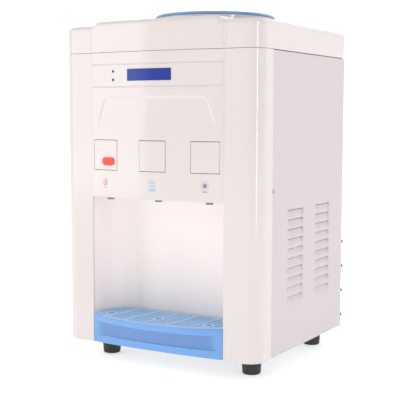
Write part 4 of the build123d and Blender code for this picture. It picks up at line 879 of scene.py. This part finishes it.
class DISPENSER_OT_marks(bpy.types.Operator):
    """Printed marks under the buttons: a flame, wave lines and a snowflake in a ring"""

    bl_idname = "dispenser.marks"
    bl_label = "Button marks"

    def execute(self, context):
        """Flame: two drops, one inside the other, x = w sin(a) sin(a / 2)^1.5 and z = h cos(a).

        Waves: sine lines. Snowflake: six arms with two short barbs each, inside a circle.
        """
        a = np.linspace(0.35, tau - 0.35, 40)
        hot = TAPS["hot"]
        bar_x = np.linspace(-3.2 * MM, 3.2 * MM, 8)
        surfaces = ribbon(hot + bar_x, np.full(8, 248.6 * MM), 0.9 * MM)
        for wide, tall, low in ((4.6 * MM, 5.2 * MM, 257.0 * MM), (2.2 * MM, 2.8 * MM, 254.9 * MM)):
            surfaces += ribbon(hot + wide * np.sin(a) * np.sin(a / 2) ** 1.5 + 0.8 * MM * np.cos(a),
                               low + tall * np.cos(a), 0.9 * MM)
        piece("mark_hot", surfaces, ink("red", "#E08E8A"), "cabinet", [], "red_abs", sharp=30,
              recalculate=True)
        wave_x = np.linspace(-5.2 * MM, 5.2 * MM, 30)
        surfaces = []
        for i in range(5):
            height = 247.6 * MM + i * 3.1 * MM
            surfaces += ribbon(wave_x, height + 0.35 * MM * np.sin(wave_x / (5.2 * MM) * tau),
                               (1.2 if i == 0 else 0.6) * MM)
        piece("mark_normal", surfaces, ink("light_blue", "#62AAE6"), "cabinet", [], "blue_abs", sharp=30,
              recalculate=True)
        cold, middle = TAPS["cold"], 256.5 * MM
        angle = np.linspace(0, tau, 49)
        ring = ribbon(cold + 5.8 * MM * np.cos(angle), middle + 5.8 * MM * np.sin(angle), 0.7 * MM)
        piece("mark_cold_ring", ring, ink("grey", "#B9B9C2"), "cabinet", [], "badge_blue", sharp=30,
              recalculate=True)
        surfaces = []
        reach = np.linspace(0.3 * MM, 3.6 * MM, 6)
        for i in range(6):
            a = tau * i / 6 + pi / 6
            surfaces += ribbon(cold + reach * cos(a), middle + reach * sin(a), 0.8 * MM)
            for turn in (-pi / 4, pi / 4):
                barb = np.linspace(0, 1.3 * MM, 3)
                surfaces += ribbon(cold + 2.1 * MM * cos(a) + barb * cos(a + turn),
                                   middle + 2.1 * MM * sin(a) + barb * sin(a + turn), 0.55 * MM)
        surfaces += ribbon(cold + bar_x, np.full(8, 248.6 * MM), 0.9 * MM)
        piece("mark_cold", surfaces, ink("dark_blue", "#2C4F9E"), "cabinet", [], "badge_blue", sharp=30,
              recalculate=True)
        return {"FINISHED"}


class DISPENSER_OT_badge(bpy.types.Operator):
    """Blank name plate that follows the bow of the fascia"""

    bl_idname = "dispenser.badge"
    bl_label = "Blank badge"

    def execute(self, context):
        """A rectangle that follows the fascia, with rounded edges."""
        x = spaced([BADGE_LOW.x, BADGE_LOW.x + 0.4 * MM, BADGE_HIGH.x - 0.4 * MM, BADGE_HIGH.x], 4 * MM)
        z = spaced([BADGE_LOW.z, BADGE_LOW.z + 0.4 * MM, BADGE_HIGH.z - 0.4 * MM, BADGE_HIGH.z], 4 * MM)
        grid_x, grid_z = np.meshgrid(x, z, indexing="ij")
        piece("badge_blank", slab(grid_x, grid_z, 0.75 * MM, 0.0), badge_enamel(), "cabinet", ["badge_plate"],
              "badge_blue", edge=0.25 * MM, edge_angle=60, sharp=50, recalculate=True)
        return {"FINISHED"}


class DISPENSER_OT_lamps(bpy.types.Operator):
    """Two smoked indicator lenses with domed faces"""

    bl_idname = "dispenser.lamps"
    bl_label = "Indicator lamps"

    def execute(self, context):
        """A disc of radius r whose face rises by 1 - (r / R)^2, with a short barrel behind it."""
        x0 = (LED_LOW.x + LED_HIGH.x) / 2
        radius = (LED_HIGH.x - LED_LOW.x) / 2 + 0.35 * MM
        angle = np.linspace(0, tau, 32, endpoint=False)[:, None]
        r = radius * np.array([0, 0.3, 0.6, 0.85, 0.97, 1.0, 1.0, 0.0])[None, :]
        proud = np.array([0.75, 0.72, 0.6, 0.4, 0.25, 0.1, -1.5, -1.5])[None, :] * MM
        surfaces = []
        for z0 in (LED_LOW.z + 1.5 * MM, LED_HIGH.z - 1.5 * MM):
            x, z = x0 + r * np.cos(angle), z0 + r * np.sin(angle)
            points = np.stack([x, bow(x) - proud + 0 * angle, z], -1)
            surfaces.append((points, quads(points, loop_u=True)))
        piece("indicator_lenses", surfaces, smoked_lens(), "cabinet", ["indicator_leds"], "led_lens",
              sharp=50, recalculate=True)
        return {"FINISHED"}


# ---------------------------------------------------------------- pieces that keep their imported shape
FINISHED_COPIES = {
    "bottle_collar": (gloss_abs, 0.4), "alcove_liner": (satin_abs, 0.6),
    "button_hot": (gloss_abs, 0.45), "button_normal": (gloss_abs, 0.45), "button_cold": (gloss_abs, 0.45),
    "child_lock": (red_abs, 0.5), "back_panel": (powder_grey, 0.2), "drip_grille": (blue_grille, 0.3),
    "base_pan": (zinc_steel, 0.2), "drain_cap": (white_pp, 0.4), "cord_gland": (black_nylon, 0.5),
    "switch_frames": (black_nylon, 0.4), "rocker_hot": (red_abs, 0.4), "rocker_cold": (black_nylon, 0.4),
    "condenser_tube": (black_enamel, 0), "condenser_wires": (black_enamel, 0),
    "condenser_brackets": (black_nylon, 0.3), "screws": (zinc_steel, 0.3),
    "tap_body_hot": (tap_plastic_shaded, 0.2), "tap_body_normal": (tap_plastic_shaded, 0.2),
    "tap_body_cold": (tap_plastic_shaded, 0.2), "valve_plunger_hot": (polypropylene, 0.2),
    "valve_plunger_normal": (polypropylene, 0.2), "valve_plunger_cold": (polypropylene, 0.2),
    "cold_tank": (stainless, 0), "tank_lid": (polypropylene, 0.3), "seat_gasket": (silicone, 0.2),
    "cold_baffle": (polypropylene, 0.2), "evaporator_coil": (copper, 0), "tank_insulation": (foam, 0.8),
    "tank_shelf": (zinc_steel, 0.2), "hot_tank": (stainless, 0), "hot_jacket": (foam, 0.8),
    "heater_band": (heater_alloy, 0.2), "hot_thermostats": (heater_alloy, 0.2),
    "hot_tank_stand": (zinc_steel, 0.2), "compressor": (black_enamel, 0.4),
    "compressor_grommets": (rubber, 0.5), "relay_cover": (black_nylon, 0.5), "filter_drier": (copper, 0.3),
    "refrigerant_lines": (copper, 0), "capillary_tube": (copper, 0), "cold_water_hoses": (silicone, 0),
    "hot_water_hoses": (silicone, 0), "button_spring_hot": (spring_wire, 0),
    "button_spring_normal": (spring_wire, 0), "button_spring_cold": (spring_wire, 0),
    "indicator_board": (circuit_green, 0.1),
}


class DISPENSER_OT_kept_shapes(bpy.types.Operator):
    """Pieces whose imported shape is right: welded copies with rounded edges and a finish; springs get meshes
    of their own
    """

    bl_idname = "dispenser.kept_shapes"
    bl_label = "Kept shapes"

    def execute(self, context):
        """Copies each node's mesh, welds and flattens it, and rounds its edges by the table's width in mm."""
        slots = {s["node"]: s["material_slot"] for s in frame["record"]["subparts"]}
        bodies = frame["record"]["behaviour"]["bodies"]
        body_of = {name: body for body, members in bodies.items() for name in members}
        for name, (finish, edge) in FINISHED_COPIES.items():
            mesh = frame["nodes"][name].data.copy()
            made = dress(mesh, f"{name}_finished", finish(), body_of[name], [name], slots[name],
                         edge=edge * MM, flatten=True)
            if name.startswith("button_spring_"):
                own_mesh(made)
        return {"FINISHED"}


# ---------------------------------------------------------------- studio
class DISPENSER_OT_studio(bpy.types.Operator):
    """Pale floor, soft lights and the camera"""

    bl_idname = "dispenser.studio"
    bl_label = "Studio"

    def execute(self, context):
        """A floor that curves up into a wall behind the part, three area lights and a white room."""
        studio = context.scene.dispenser_studio
        reach, bend_y, bend = 6.0, 2.5, 1.5
        width = np.linspace(-reach, reach, 9)[:, None]
        angle = np.linspace(0, pi / 2, 12)[1:]
        run_y = np.concatenate([[-reach, bend_y], bend_y + bend * np.sin(angle), [bend_y + bend]])[None, :]
        run_z = np.concatenate([[0, 0], bend * (1 - np.cos(angle)), [reach]])[None, :]
        points = np.stack([width + 0 * run_y, run_y + 0 * width, run_z + 0 * width], -1)
        mesh = bpy.data.meshes.new("studio_floor")
        mesh.from_pydata(points.reshape(-1, 3).tolist(), [], quads(points).tolist())
        mesh.shade_smooth()
        paper = finish_of("paper_white_matt", linear("#FAFAFA"), 0.8, cloud=(400, 0.004), grain=(3, 0.002),
                          **{"Emission Color": (1.0, 1.0, 1.0, 1.0), "Emission Strength": 0.5})
        mesh.materials.append(paper)
        floor = bpy.data.objects.new("studio_floor", mesh)
        context.scene.collection.objects.link(floor)
        world = bpy.data.worlds.new("white_room")
        world.use_nodes = True
        background = world.node_tree.nodes["Background"]
        background.inputs["Color"].default_value = (1.0, 1.0, 1.0, 1.0)
        across = node(world.node_tree, "ShaderNodeSeparateXYZ", {
            "Vector": node(world.node_tree, "ShaderNodeTexCoord").outputs["Generated"]})
        light = node(world.node_tree, "ShaderNodeMapRange", {
            "Value": across.outputs["X"], "From Min": -1.0, "From Max": 1.0, "To Min": studio.room,
            "To Max": studio.shade})
        world.node_tree.links.new(light.outputs["Result"], background.inputs["Strength"])
        context.scene.world = world
        target = Vector(studio.aim)
        for name, place, size, power in (
                ("key_light", (-1.95, -1.7, 0.8), (1.4, 1.6), studio.key),
                ("strip_light", (1.77, -0.94, 0.7), (0.16, 1.7), studio.strip),
                ("top_light", (0.1, -0.1, 2.2), (1.8, 1.8), studio.top)):
            light = bpy.data.lights.new(name, "AREA")
            light.shape = "RECTANGLE"
            light.size, light.size_y = size
            light.energy = power
            lamp = bpy.data.objects.new(name, light)
            lamp.location = place
            lamp.rotation_euler = (target - Vector(place)).to_track_quat("-Z", "Y").to_euler()
            context.scene.collection.objects.link(lamp)
        lens = bpy.data.cameras.new("camera")
        lens.sensor_fit, lens.sensor_width, lens.lens = "HORIZONTAL", 36.0, studio.lens
        camera = bpy.data.objects.new("camera", lens)
        a, e = studio.azimuth, studio.elevation
        back = Vector((sin(a) * cos(e), -cos(a) * cos(e), sin(e)))
        turn = back.to_track_quat("Z", "Y").to_matrix() @ Matrix.Rotation(studio.roll, 3, "Z")
        camera.matrix_world = Matrix.Translation(target + back * studio.distance) @ turn.to_4x4()
        context.scene.collection.objects.link(camera)
        context.scene.camera = camera
        context.scene.view_settings.view_transform = "Standard"
        return {"FINISHED"}


class DISPENSER_PT_panel(bpy.types.Panel):
    """Lists the sizes, colours and pieces of the dispenser"""

    bl_idname = "DISPENSER_PT_panel"
    bl_label = "Water dispenser"
    bl_space_type = "VIEW_3D"
    bl_region_type = "UI"
    bl_category = "Dispenser"

    def draw(self, context):
        for group in ("dispenser_sizes", "dispenser_colours", "dispenser_studio"):
            settings = getattr(context.scene, group)
            box = self.layout.box()
            for key in settings.__annotations__:
                box.prop(settings, key)
        for operator in OPERATORS:
            self.layout.operator(operator.bl_idname)


GROUPS = {"dispenser_sizes": DispenserSizes, "dispenser_colours": DispenserColours,
          "dispenser_studio": DispenserStudio}
OPERATORS = (DISPENSER_OT_studio, DISPENSER_OT_front_moulding, DISPENSER_OT_top_cover,
             DISPENSER_OT_side_sheets, DISPENSER_OT_drip_tray, DISPENSER_OT_bottle_seat,
             DISPENSER_OT_feet, DISPENSER_OT_marks, DISPENSER_OT_badge, DISPENSER_OT_lamps,
             DISPENSER_OT_kept_shapes)


def register():
    """Registers the property groups, operators and panel."""
    for name, group in GROUPS.items():
        bpy.utils.register_class(group)
        setattr(bpy.types.Scene, name, PointerProperty(type=group))
    for operator in (*OPERATORS, DISPENSER_PT_panel):
        bpy.utils.register_class(operator)


def unregister():
    """Removes them again."""
    for operator in reversed((*OPERATORS, DISPENSER_PT_panel)):
        bpy.utils.unregister_class(operator)
    for name, group in reversed(GROUPS.items()):
        delattr(bpy.types.Scene, name)
        bpy.utils.unregister_class(group)


def main():
    """Builds everything in order."""
    register()
    for operator in OPERATORS:
        space, call = operator.bl_idname.split(".")
        getattr(getattr(bpy.ops, space), call)()


if __name__ == "__main__":
    main()
